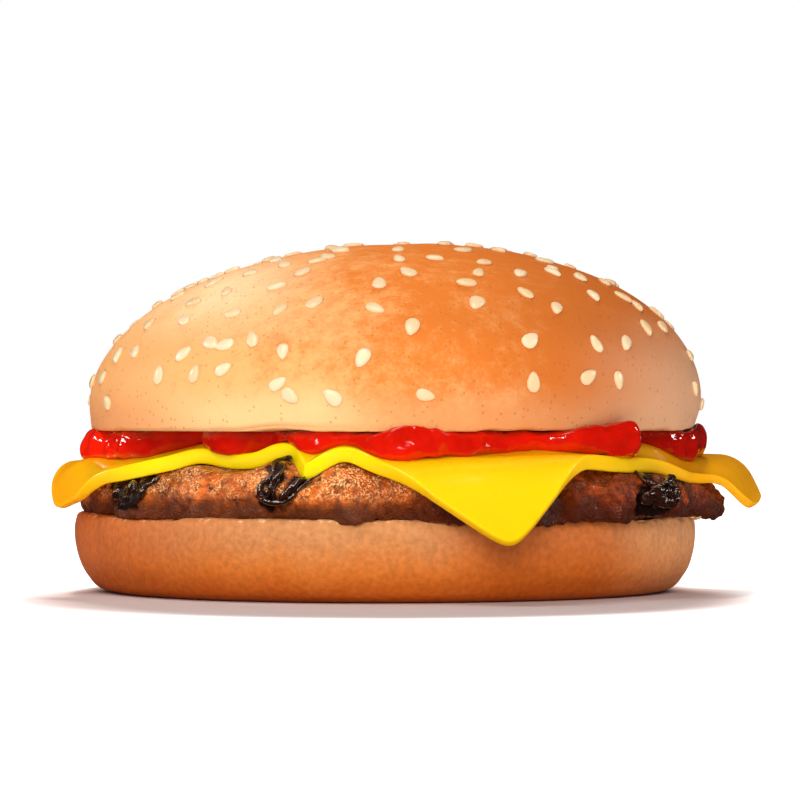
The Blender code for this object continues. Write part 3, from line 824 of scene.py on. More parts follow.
class UpperBunSettings(bpy.types.PropertyGroup):
    radius: length_property("Radius", "Widest radius of the upper bun", 0.0480)
    rise: length_property("Rise", "Height of the dome over its widest ring", 0.0249)
    golden: colour_property("Golden", "Colour where the crust is baked least", (0.83, 0.388, 0.134))
    brown: colour_property("Brown", "Colour where the crust is baked most", (0.68, 0.175, 0.024))
    pale: colour_property("Pale", "Colour of the crust near the cut", (0.75, 0.338, 0.130))
    # painted light: a pale yellow glow low on the front left, on paler crust near the cut
    soft: colour_property("Soft", "Colour of the softest part near the cut", (0.95, 0.58, 0.26))
    paler_right: colour_property("Dusty", "Colour of the dull right side", (0.96, 0.60, 0.33))
    # painted sheen: the pale patch on the front left shoulder stands in for the upper light's sheen
    painted_sheen: colour_property("Worn", "Colour of the pale patch on the shoulder", (1.0, 0.74, 0.43))
    pore: colour_property("Pore", "Colour of the small pores", (0.40, 0.13, 0.03))


class SeedSettings(bpy.types.PropertyGroup):
    count: amount_property("Count", "Number of sesame seeds", 176)
    draw: amount_property("Draw", "Seed of the random places", 7)
    length: length_property("Length", "Length of a seed", 0.0032)
    width: length_property("Width", "Width of a seed", 0.0020)
    thickness: length_property("Thickness", "Thickness of a seed", 0.0009)
    spacing: length_property("Spacing", "Least distance of two seeds that don't touch", 0.0050)
    colour: colour_property("Colour", "Colour of the seeds", (0.84, 0.63, 0.39))


class StageSettings(bpy.types.PropertyGroup):
    # painted shadow: the darker, pinker floor colour round the burger, where its shadow falls
    floor: colour_property("Floor", "Colour of the floor", (0.64, 0.52, 0.49))
    rear: strength_property("Rear light", "Strength of the light from behind", 2.3)
    upper: strength_property("Upper light", "Power of the soft light above", 3.6)
    front: strength_property("Front light", "Power of the soft light in front", 10.5)
    sparkle: strength_property("Sparkle", "Power of each small light for highlights", 2.4)
    ambient: strength_property("Ambient", "Strength of the light from all round", 0.21)
    mirrored: strength_property("Mirrored", "Strength of the room in reflections", 0.015)


class MakeLowerBun(bpy.types.Operator):
    """Make the lower half of the bun"""

    bl_idname = "burger.make_lower_bun"
    bl_label = "Lower bun"

    def execute(self, context):
        settings = context.scene.lower_bun
        neck, over = HEEL_RADIUS - HEEL_SHOULDER, HEEL_HEIGHT - HEEL_WIDEST
        flat = disc_rows(np.linspace(0, 0.98, 8), neck, HEEL_HEIGHT)
        shoulder = arc_rows(arc(90, 0, 18)[:-1], neck, HEEL_SHOULDER, 0.5, HEEL_WIDEST, over)
        spread_out = HEEL_RADIUS - HEEL_FOOT
        side = arc_rows(arc(2, 90, 54), HEEL_FOOT, spread_out, 0.8, HEEL_WIDEST, -HEEL_WIDEST)
        under = disc_rows(np.linspace(0.97, 0, 5), HEEL_FOOT, 0.0)
        radius, height, azimuth = spun_grid(np.vstack((flat, shoulder, side, under)), 560)
        swell = 1 + sum(share * np.cos(waves * azimuth + phase) for waves, share, phase in HEEL_SWELLS)
        points = placed(radius * swell, azimuth, height)
        off_foot = ramp(radius, HEEL_FOOT, 0.002)
        wall = off_foot * ramp(height, 0.0002, 0.002)
        stretched = placed(radius, azimuth, height * CREASE_SQUEEZE)
        creases = layered(stretched, CREASES) * ramp(height, *CREASES_UP)
        rim = ramp(height, HEEL_HEIGHT - TORN_BAND, TORN_OVER) * off_foot
        torn = rim * layered(points, TEARS) * (0.5 + 0.5 * ramp(points[..., 0], *TORN_MORE))
        push = wall * (creases + layered(points, HEEL_LUMPS) - HEEL_SKIN_IN) + torn
        points = points + outward(points) * push[..., None]
        points[..., 2] = np.clip(points[..., 2], 0.0, HEEL_HEIGHT)
        bun = shell("lower_bun", points, self.material(settings), rim=rim)
        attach(bun, "root")
        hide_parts("bun_heel")
        return {"FINISHED"}

    def material(self, settings):
        material, tree, shader, place = new_material(
            "baked_bread", Roughness=0.62, Specular_IOR_Level=0.12,
        )
        at = node(tree, "SeparateXYZ", {0: place}).outputs
        dark = rgba(settings.dark)
        level = cloudy(tree, at["Z"], clouds(tree, place, 110.0, 1.2), 0.004)
        baked = blended(tree, spread(tree, level, *HEEL_FOOT_TO), dark, rgba(settings.crust))
        base = blended(tree, spread(tree, level, *HEEL_SOFT_FROM), baked, rgba(settings.pale))
        # painted shade: the left end of the side is darkened towards the dark crust colour
        base = blended(tree, spread(tree, at["X"], *HEEL_LEFT_SHADE_TO, 0.92, 0.0), base, dark)
        # painted shadow right of the middle, under the cheese flap and the patty
        base = blended(tree, times(tree, band(tree, at["X"], *HEEL_SHADE_BAND), 0.70), base, dark)
        # painted light: the right end turns paler
        base = blended(tree, spread(tree, at["X"], *HEEL_LIT_RIGHT_FROM, 0.0, 0.6), base, rgba(settings.end))
        speck = two_tone(tree, place, 1.0 / settings.grain, 2.6, (1.18, 1.12, 1.0), (0.82, 0.74, 0.62))
        grained = multiplied(tree, 0.75, base, speck["Color"])
        torn = spread(tree, times(tree, field(tree, "rim"), speck["Mask"]), 0.60, 1.0, 0.0, 0.45)
        tree.links.new(blended(tree, torn, grained, rgba(settings.crumb)), shader["Base Color"])
        grainy(tree, shader, place, scale=1400.0, detail=4.0, distance=0.00018, strength=0.7)
        return material


class MakeCrumbs(bpy.types.Operator):
    """Make the torn crumbs on the right end of the lower bun's rim"""

    bl_idname = "burger.make_crumbs"
    bl_label = "Crumbs"

    def execute(self, context):
        """Each crumb is a ball that is stretched, made lumpy by noise and turned about the vertical."""
        settings = context.scene.crumbs
        count = settings.count
        draw = np.random.default_rng(settings.draw)
        azimuth = np.radians(draw.uniform(*CRUMBS_BETWEEN, count))
        radius = HEEL_RADIUS - draw.uniform(0.0, CRUMBS_INSIDE, count)
        height = HEEL_HEIGHT - draw.uniform(*CRUMBS_UNDER_TOP, count)
        half = settings.size / 2 * draw.uniform(0.5, 1.0, (count, 1, 1, 1))
        length = draw.uniform(1.0, 2.4, (count, 1, 1))
        middle = placed(radius, azimuth, height)[:, None, None]
        fall, turn = arc(0, 180, 12), full_turn(16)
        x, y = np.sin(fall) * np.cos(turn), np.sin(fall) * np.sin(turn)
        ball = np.stack(np.broadcast_arrays(x, y, np.cos(fall)), -1)
        crumbs = np.repeat(ball[None], count, axis=0)
        crumbs[..., 1] *= length
        apart = np.arange(count)[:, None, None, None] * 5
        lumpy = 1 + layered(crumbs + apart, CRUMB_LUMPS)[..., None]
        spin = draw.uniform(0, np.pi, (count, 1, 1))
        x = crumbs[..., 0] * np.cos(spin) - crumbs[..., 1] * np.sin(spin)
        y = crumbs[..., 0] * np.sin(spin) + crumbs[..., 1] * np.cos(spin)
        points = middle + half * lumpy * np.stack((x, y, crumbs[..., 2]), -1)
        piece = shell("bun_crumbs", points, self.material(settings))
        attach(piece, "root")
        return {"FINISHED"}

    def material(self, settings):
        material, tree, shader, place = new_material(
            "torn_crumb", Roughness=0.8, Specular_IOR_Level=0.1,
        )
        shader["Base Color"].default_value = rgba(settings.colour)
        grainy(tree, shader, place, scale=2600.0, detail=3.0, distance=0.00015, strength=0.8)
        return material


class MakePatty(bpy.types.Operator):
    """Make the grilled patty"""

    bl_idname = "burger.make_patty"
    bl_label = "Patty"

    def execute(self, context):
        settings = context.scene.patty
        size = settings.radius
        core, foot = size - PATTY_SHOULDER, size - PATTY_HEM
        flat = disc_rows(np.linspace(0, 0.98, 10), core, PATTY_TOP)
        above, below = PATTY_TOP - PATTY_WIDEST, PATTY_BASE - PATTY_WIDEST
        upper = arc_rows(arc(90, 0, 52), core, PATTY_SHOULDER, 0.7, PATTY_WIDEST, above)
        lower = arc_rows(arc(4, 90, 20), foot, PATTY_HEM, 0.5, PATTY_WIDEST, below)
        under = disc_rows(np.linspace(0.97, 0, 6), foot, PATTY_BASE)
        radius, height, azimuth = spun_grid(np.vstack((flat, upper, lower, under)), 1060)
        points = placed(radius, azimuth, height)
        side = ramp(radius, core, PATTY_SHOULDER * 0.8)
        depth = sum(
            deep * np.clip(0.5 + noise(points, cell, salt), 0.0, 1.0)
            for deep, cell, salt in PATTY_HOLLOWS
        )
        reach = radius + side * (char_bump(azimuth, 2) - depth)
        rim = ramp(radius, PATTY_RIM, PATTY_RIM_OVER)
        lift = ramp(height, PATTY_BASE + 0.003, 0.004) * rim * (patty_raised(azimuth) - 0.12 * depth)
        drop = PATTY_SAG * ramp(points[..., 0] + PATTY_X, HEEL_RADIUS - 0.001, 0.006)
        points = placed(reach, azimuth, height + lift - drop)
        relief, own = self.grains(points, settings.granule)
        burnt = self.burnt(points)
        push = side * (GRAIN_HEIGHT * (relief - GRAIN_MIDDLE) + layered(points, PATTY_GRIT))
        push = push * (1 - 0.4 * burnt)
        points = points + outward(points) * push[..., None]
        ceiling = slice_underside(points[..., 0], points[..., 1]) - TOUCH
        points[..., 2] = np.minimum(points[..., 2], ceiling)
        points = self.hemmed(points, radius, height, azimuth)
        points[..., 0] += PATTY_X
        # the hollows' depth, which the material darkens as painted shade
        hollow = np.clip(depth / sum(deep for deep, _, _ in PATTY_HOLLOWS), 0, 1)
        fields = {"relief": relief, "burnt": burnt, "own": own, "hollow": hollow}
        patty = shell("meat_patty", points, self.material(settings), **fields)
        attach(patty, "root")
        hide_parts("patty")
        return {"FINISHED"}

    def grains(self, points, size):
        """Relief from 0 to 1 of round grains with finer ones on them, and each fine grain's number.

        A grain is a dome, the root of 1 less the squared distance to its middle. The places
        are shifted by noise first, so that no grain is quite round.
        """
        shift = np.stack([noise(points, 0.0025, salt) for salt in (21, 22, 23)], -1)
        shifted = points + GRAIN_SHIFT * shift
        coarse, own_coarse = granules(shifted, size, 31)
        fine, own_fine = granules(shifted, size * FINE_GRAIN, 41)
        grains = np.sqrt(np.clip(1 - (coarse / 0.95) ** 2, 0.0, 1.0)) * (0.75 + 0.25 * own_coarse)
        crumbs = np.sqrt(np.clip(1 - (fine / 0.95) ** 2, 0.0, 1.0))
        return 0.65 * grains + 0.35 * crumbs, 0.5 + 0.5 * own_fine

    def burnt(self, points):
        """How charred each point is, from its distance to the ridges: in ragged patches round them."""
        nearest = np.full(points.shape[:2], 1.0)
        for thickness, *path in CURLS:
            for x, z in smooth_path(path, 12) / 1000:
                away = np.hypot(points[..., 0] + PATTY_X - x, points[..., 2] - z) - thickness / 2000
                nearest = np.minimum(nearest, np.where(points[..., 1] < 0, away, 1.0))
        return 1 - ramp(nearest + layered(points, BURNT_EDGE), 0.0, BURNT_OVER)

    def hemmed(self, points, radius, height, azimuth):
        """The points with the lowest rows let down unevenly, and held on the lower bun's top."""
        lowest = 1 - ramp(height, PATTY_BASE, HEM_ROWS)
        ragged = 0.5 + 0.5 * noise(placed(RING, azimuth, 0.0), HEM_CELL, 27)
        hang = (HEM_HANG + HEM_RAGGED * ragged) * (1 - 0.6 * ramp(points[..., 0], 0.030, 0.010))
        points[..., 2] -= lowest * ramp(radius, *HEM_FROM) * hang
        from_bun = np.hypot(points[..., 0] + PATTY_X, points[..., 1])
        floor = heel_top(from_bun) - HEM_SINK - HEM_DEEPER * ramp(from_bun, HEEL_FOOT, 0.003)
        points[..., 2] = np.maximum(points[..., 2], floor)
        return points

    def material(self, settings):
        material, tree, shader, place = new_material(
            "grilled_mince", Specular_IOR_Level=0.30, Coat_Weight=0.08, Coat_Roughness=0.10,
        )
        at = node(tree, "SeparateXYZ", {0: place}).outputs
        burnt = field(tree, "burnt")
        deep = rgba(settings.deep)
        # raised grains take the seared colour and the low ground between them the deep one: partly sear,
        # partly painted shade
        raised = spread(tree, field(tree, "relief"), 0.25, 0.85)
        # the seared colour is weaker towards the right
        browned = times(tree, raised, spread(tree, at["X"], *PATTY_SEARED_FADES, 1.0, 0.65))
        meat = blended(tree, browned, deep, rgba(settings.seared))
        tone = two_tone(tree, place, 260.0, 2.2, (1.45, 1.25, 1.05), (0.62, 0.52, 0.50))
        meat = multiplied(tree, 0.9, meat, tone["Color"])
        own = spread(tree, field(tree, "own"), 0.0, 1.0)
        meat = multiplied(tree, 1.0, meat, blended(tree, own, rgba(DARK_GRAIN), rgba(LIGHT_GRAIN)))
        # painted shade in the deeper hollows
        meat = blended(tree, spread(tree, field(tree, "hollow"), 0.45, 1.0, 0.0, 0.5), meat, deep)
        ragged = cloudy(tree, at["Z"], tone["Mask"], 0.0022)
        meat = blended(tree, spread(tree, ragged, *PATTY_HEM_TO, 0.92, 0.0), meat, rgba(settings.hem))
        # painted highlights: pale flecks of fat and glint, only on the upper part and fewer to the right
        beads = spread(tree, clouds(tree, place, 3300.0, 1.0), 0.49, 0.56)
        gleam = spread(tree, clouds(tree, place, 500.0, 1.0), 0.36, 0.56)
        upper = spread(tree, ragged, *PATTY_FAT_GLINT_FROM)
        upper = times(tree, upper, spread(tree, at["X"], *PATTY_FAT_GLINT_FADE_FROM, 1.0, 0.22))
        meat = blended(tree, times(tree, times(tree, beads, gleam), upper), meat, rgba(settings.fat_and_glint))
        right = spread(tree, at["X"], *PATTY_DARK_FROM)
        meat = multiplied(tree, 1.0, meat, blended(tree, right, WHITE, rgba(PATTY_DARKER)))
        tree.links.new(blended(tree, burnt, meat, rgba(settings.charred)), shader["Base Color"])
        wet = spread(tree, tone["Mask"], 0.2, 0.9, 0.50, 0.22)
        tree.links.new(blended(tree, burnt, wet, rgba(BURNT_ROUGHNESS)), shader["Roughness"])
        grainy(tree, shader, place, scale=2600.0, detail=3.0, distance=0.0005, strength=1.0)
        return material


class MakeBurntJuice(bpy.types.Operator):
    """Make the glossy ridges of burnt juice on the side of the patty"""

    bl_idname = "burger.make_burnt_juice"
    bl_label = "Burnt juice"

    def execute(self, context):
        """Each ridge is a tube round its path on the patty's side, thinner at its ends and wrinkled."""
        settings = context.scene.patty
        rows, columns = 90, 20
        around = full_turn(columns)[0, :, None]
        along = np.linspace(-1, 1, rows)
        tapered = (1 - np.abs(along) ** 5)[:, None, None]
        core = settings.radius - PATTY_SHOULDER
        tubes = []
        for thickness, *path in CURLS:
            x, z = smooth_path(path, rows).T / 1000
            azimuth = np.arcsin((x - PATTY_X) / (settings.radius - JUICE_SUNK))
            crown = PATTY_TOP + patty_raised(azimuth)
            up = np.clip((z - PATTY_WIDEST) / (crown - PATTY_WIDEST), 0.0, 0.985)
            radius = core + PATTY_SHOULDER * (1 - up**2) ** 0.35 - JUICE_SUNK + char_bump(azimuth, 2)
            middle = placed(radius, azimuth, z) + (PATTY_X, 0.0, 0.0)
            out = unit(placed(1.0, azimuth, 0.4))
            ahead = unit(np.gradient(middle, axis=0))
            beside = np.cross(out, ahead)
            half = thickness / 2000 * (0.85 + 0.35 * noise(middle, 0.0013, 71))[:, None, None]
            ring = out[:, None] * np.cos(around) + beside[:, None] * np.sin(around)
            tubes.append(middle[:, None] + ring * half * tapered)
        points = np.stack(tubes)
        normal = np.stack([outward(tube) for tube in points])
        points = points + normal * (layered(points, JUICE_WRINKLES) * tapered[..., 0])[..., None]
        piece = shell("burnt_juice", points, self.material(settings))
        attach(piece, "root")
        return {"FINISHED"}

    def material(self, settings):
        material, tree, shader, place = new_material(
            "burnt_glaze", Roughness=0.10, Specular_IOR_Level=0.8, Coat_Weight=1.0, Coat_Roughness=0.04,
        )
        tone = two_tone(tree, place, 900.0, 2.5, JUICE_LIGHT, settings.charred)
        # painted highlights: pale specks on the ridges
        glint = spread(tree, clouds(tree, place, 2200.0, 1.0), 0.65, 0.72)
        tree.links.new(blended(tree, glint, tone["Color"], rgba(JUICE_GLINT)), shader["Base Color"])
        grainy(tree, shader, place, scale=1500.0, detail=3.0, distance=0.00026, strength=0.9)
        return material


class MakeCheese(bpy.types.Operator):
    """Make the slice of cheese that hangs over the patty"""

    bl_idname = "burger.make_cheese"
    bl_label = "Cheese"

    def execute(self, context):
        """The draped underside, its rows running out from the middle, is thickened upward.

        The upper face is the underside moved along its normals. Between them the rim is a
        half ellipse, and the underside closes the slice with every third row.
        """
        settings = context.scene.cheese
        turn = full_turn(720)[0]
        to_edge = 1 / np.maximum(np.abs(np.sin(turn)), np.abs(np.cos(turn)))
        square = np.stack((np.cos(turn) * to_edge, np.sin(turn) * to_edge), -1) * settings.side / 2
        share = 1 - np.linspace(1, 0, 62)[:, None] ** 1.6
        sheet = draped(share[..., None] * square[None])
        normal = outward(sheet)
        normal[0] = (0.0, 0.0, 1.0)
        normal = normal * np.sign(normal[..., 2:] + 1e-9)
        thick = settings.thickness * thinning(share, azimuth_of(sheet[..., 0], sheet[..., 1]))[..., None]
        upper = sheet + normal * thick
        outwards = unit(sheet[-1] - sheet[-2])
        turn = arc(75, -75, 9)[..., None]
        half = thick[-1] / 2
        middle = sheet[-1] + normal[-1] * half
        rounded = middle + outwards * 0.5 * half * np.cos(turn) ** 0.5 + normal[-1] * half * np.sin(turn)
        points = np.concatenate((upper, rounded, sheet[::-3]))
        points[..., 0] += PATTY_X
        cheese = shell("cheese", points, self.material(settings))
        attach(cheese, "root")
        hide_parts("cheese_slice")
        return {"FINISHED"}

    def material(self, settings):
        material, tree, shader, place = new_material(
            "processed_cheese", Roughness=0.20, Specular_IOR_Level=0.32,
            Subsurface_Weight=0.35, Subsurface_Scale=0.004,
        )
        shader["Subsurface Radius"].default_value = (1.0, 0.6, 0.1)
        colour = settings.colour
        dull, lit_lemon = scaled(colour, CHEESE_DULL), scaled(colour, CHEESE_LIT)
        deep = scaled(colour, CHEESE_SHADED)
        across = node(tree, "SeparateXYZ", {0: place}).outputs["X"]
        toned = two_tone(tree, place, 70.0, 1.0, colour, dull)["Color"]
        # painted light: a brighter lemon yellow on the front left
        toned = blended(tree, band(tree, across, *CHEESE_LIT_BETWEEN), toned, rgba(lit_lemon))
        # painted shade: deeper orange at both sides, where the slice hangs out of the light
        left = spread(tree, across, *CHEESE_LEFT_SHADE_TO, 1.0, 0.0)
        right = spread(tree, across, *CHEESE_RIGHT_SHADE_FROM, 0.0, 0.9)
        toned = blended(tree, maths(tree, "ADD", left, right), toned, rgba(deep))
        tree.links.new(toned, shader["Base Color"])
        grainy(tree, shader, place, scale=160.0, detail=2.0, distance=0.0004, strength=0.35)
        return material


class MakeSauce(bpy.types.Operator):
    """Make the ketchup that is squeezed out between the cheese and the upper bun"""

    bl_idname = "burger.make_sauce"
    bl_label = "Sauce"

    def execute(self, context):
        """A disc between the cheese and a flat top, whose rounded rim reaches out in lobes.

        Its reach is its radius plus one bell in azimuth for each lobe.
        """
        settings, cheese = context.scene.sauce, context.scene.cheese
        azimuth = full_turn(900)
        lobes = sum(size * bell(azimuth, middle, width) for middle, width, size in LOBES)
        reach = settings.radius + lobes + layered(placed(RING, azimuth, 0.0), SAUCE_WAVES)
        core = reach - SAUCE_EDGE
        turn = arc(90, -90, 60)
        up = 0.5 + 0.5 * np.sin(turn)
        leaning = SAUCE_LEAN * bell(azimuth, *SAUCE_LEAN_AT)
        rim = core + SAUCE_EDGE * np.cos(turn) ** 0.45 - leaning * up**1.5
        inner = np.linspace(0, 0.96, 8)[:, None]
        radius = np.vstack((inner * (core - leaning), rim, inner[::-1] * core))
        level = np.vstack((np.ones((8, 1)), up, np.zeros((8, 1))))
        flat = placed(radius, azimuth, 0.0)
        floor = cheese_face(flat[..., 0], flat[..., 1], cheese.side, cheese.thickness) - TOUCH
        beyond = np.hypot(flat[..., 0] + PATTY_X - CROWN_X, flat[..., 1])
        smear = sum(size * bell(azimuth, middle, width) for middle, width, size in SMEARS)
        top = settings.top + (SAUCE_UP + smear) * ramp(beyond, *SAUCE_UP_FROM)
        points = placed(radius, azimuth, floor + level * (top - floor))
        bulge = ramp(radius, core, SAUCE_EDGE * 0.5)
        rough = ramp(noise(points, 0.0060, 55), 0.0, 0.5)
        lumps = layered(points, SAUCE_LUMPS) + (0.00004 + 0.00016 * rough) * noise(points, 0.0009, 54)
        points = points + outward(points) * (bulge * lumps)[..., None]
        points[..., 0] += PATTY_X
        sauce = shell("sauce", points, self.material(settings))
        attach(sauce, "root")
        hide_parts("ketchup")
        return {"FINISHED"}

    def material(self, settings):
        material, tree, shader, place = new_material(
            "ketchup_wet", Roughness=0.07, Specular_IOR_Level=0.5, Coat_Weight=0.25, Coat_Roughness=0.03,
        )
        colour = settings.colour
        thick, sauce_shade = scaled(colour, SAUCE_THICK), scaled(colour, SAUCE_SHADED)
        sauce_lit = scaled(colour, SAUCE_LIT)
        across = node(tree, "SeparateXYZ", {0: place}).outputs["X"]
        toned = two_tone(tree, place, 150.0, 1.9, colour, thick)["Color"]
        # painted shade: the right lobe darker, under the upper bun's edge
        toned = blended(tree, spread(tree, across, *SAUCE_SHADE_FROM, 0.0, 0.8), toned, rgba(sauce_shade))
        # painted light: the left lobe brighter
        toned = blended(tree, spread(tree, across, *SAUCE_LIT_TO, 0.9, 0.0), toned, rgba(sauce_lit))
        tree.links.new(toned, shader["Base Color"])
        grainy(tree, shader, place, scale=420.0, detail=3.0, distance=0.0005, strength=0.7)
        return material


class MakeUpperBun(bpy.types.Operator):
    """Make the domed upper half of the bun"""

    bl_idname = "burger.make_upper_bun"
    bl_label = "Upper bun"

    def execute(self, context):
        settings = context.scene.upper_bun
        azimuth = full_turn(560)
        share = np.linspace(0, 1.045, 118)[:, None]
        dome = crust_point(*np.broadcast_arrays(share, azimuth), settings.radius, settings.rise)
        neck = settings.radius - CROWN_TUCK - CROWN_EDGE
        turn = arc(-20, -90, 7)
        edge = placed(neck + CROWN_EDGE * np.cos(turn), azimuth, CROWN_EDGE * (1 + np.sin(turn)))
        cut = placed(np.linspace(0.97, 0, 7)[:, None] * neck, azimuth, 0.0)
        points = np.concatenate((dome, edge, cut))
        low = 1 - ramp(points[..., 2], 0.0005, 0.0050)
        side = ramp(np.hypot(points[..., 0], points[..., 1]), neck * 0.9, neck * 0.1)
        wave = layered(placed(RING, azimuth, 0.0), CROWN_WAVES)
        points = points + outward(points) * crust_swell(points)[..., None]
        points[..., 2] = np.maximum(points[..., 2] + low * side * wave, 0.0)
        points = points + (CROWN_X, 0.0, CROWN_BASE)
        bun = shell("upper_bun", points, self.material(settings))
        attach(bun, "root")
        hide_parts("bun_crown")
        return {"FINISHED"}

    def material(self, settings):
        material, tree, shader, place = new_material("glazed_crust", Specular_IOR_Level=0.08)
        at = node(tree, "SeparateXYZ", {0: place}).outputs
        cloud, fine, grain = (clouds(tree, place, size, contrast) for size, contrast, _ in CRUST_CLOUDS)
        # browner from left to right: partly baked colour, partly painted light on the left and painted
        # shade on the right
        baked = spread(tree, at["X"], *CROWN_BROWN_AND_SHADE_OVER)
        # browner high on the top: partly baked colour, partly painted shade that tones down the top
        # where the rear light falls
        high = times(tree, spread(tree, at["Z"], *CROWN_HIGH), spread(tree, at["X"], *CROWN_HIGH_FROM))
        baked = maths(tree, "ADD", baked, times(tree, high, 0.22))
        for mask, (_, _, share) in zip((cloud, fine, grain), CRUST_CLOUDS):
            centred = maths(tree, "SUBTRACT", mask, 0.5)
            baked = maths(tree, "ADD", baked, times(tree, centred, share))
        crust = blended(tree, spread(tree, baked, 0.0, 1.0), rgba(settings.golden), rgba(settings.brown))
        level = cloudy(tree, at["Z"], cloud, 0.003)
        crust = blended(tree, spread(tree, level, *CROWN_PALE_TO, 0.70, 0.0), crust, rgba(settings.pale))
        low = spread(tree, level, *CROWN_LOW_TO, 1.0, 0.0)
        # painted glow low on the front left, near the cut
        soft = times(tree, band(tree, at["X"], *CROWN_GLOW_BETWEEN), 0.7)
        crust = blended(tree, times(tree, soft, low), crust, rgba(settings.soft))
        # paler towards the right, low on the side
        paler_right = spread(tree, level, *CROWN_PALER_RIGHT_TO, 0.75, 0.0)
        paler_right = times(tree, spread(tree, at["X"], *CROWN_PALER_RIGHT_FROM), paler_right)
        crust = blended(tree, paler_right, crust, rgba(settings.paler_right))
        # painted sheen on the front left shoulder
        painted_sheen = spread(tree, at["X"], *CROWN_SHEEN_TO, 0.8, 0.0)
        painted_sheen = times(tree, painted_sheen, spread(tree, level, *CROWN_SHEEN_UP))
        painted_sheen = times(tree, painted_sheen, spread(tree, at["Y"], *CROWN_SHEEN_BACK, 1.0, 0.0))
        painted_sheen = times(tree, painted_sheen, spread(tree, cloud, 0.0, 0.7, 0.4, 1.0))
        crust = blended(tree, painted_sheen, crust, rgba(settings.painted_sheen))
        pores = grouped(tree, pores_group(), Vector=place, **CRUST_PORES)["Mask"]
        crust = blended(tree, times(tree, pores, 0.45), crust, rgba(settings.pore))
        # painted shade: the right end and the low left end darkened
        shade = blended(tree, spread(tree, at["X"], *CROWN_SHADE_FROM), WHITE, rgba(CROWN_SHADED_RIGHT))
        left = times(tree, spread(tree, at["X"], *CROWN_LEFT_SHADE_TO, 0.8, 0.0), low)
        shade = blended(tree, left, shade, rgba(CROWN_LEFT_SHADE))
        tree.links.new(multiplied(tree, 1.0, crust, shade), shader["Base Color"])
        tree.links.new(spread(tree, fine, 0.0, 1.0, 0.46, 0.60), shader["Roughness"])
        grainy(tree, shader, place, scale=900.0, detail=4.0, distance=0.00010, strength=0.6)
        return material


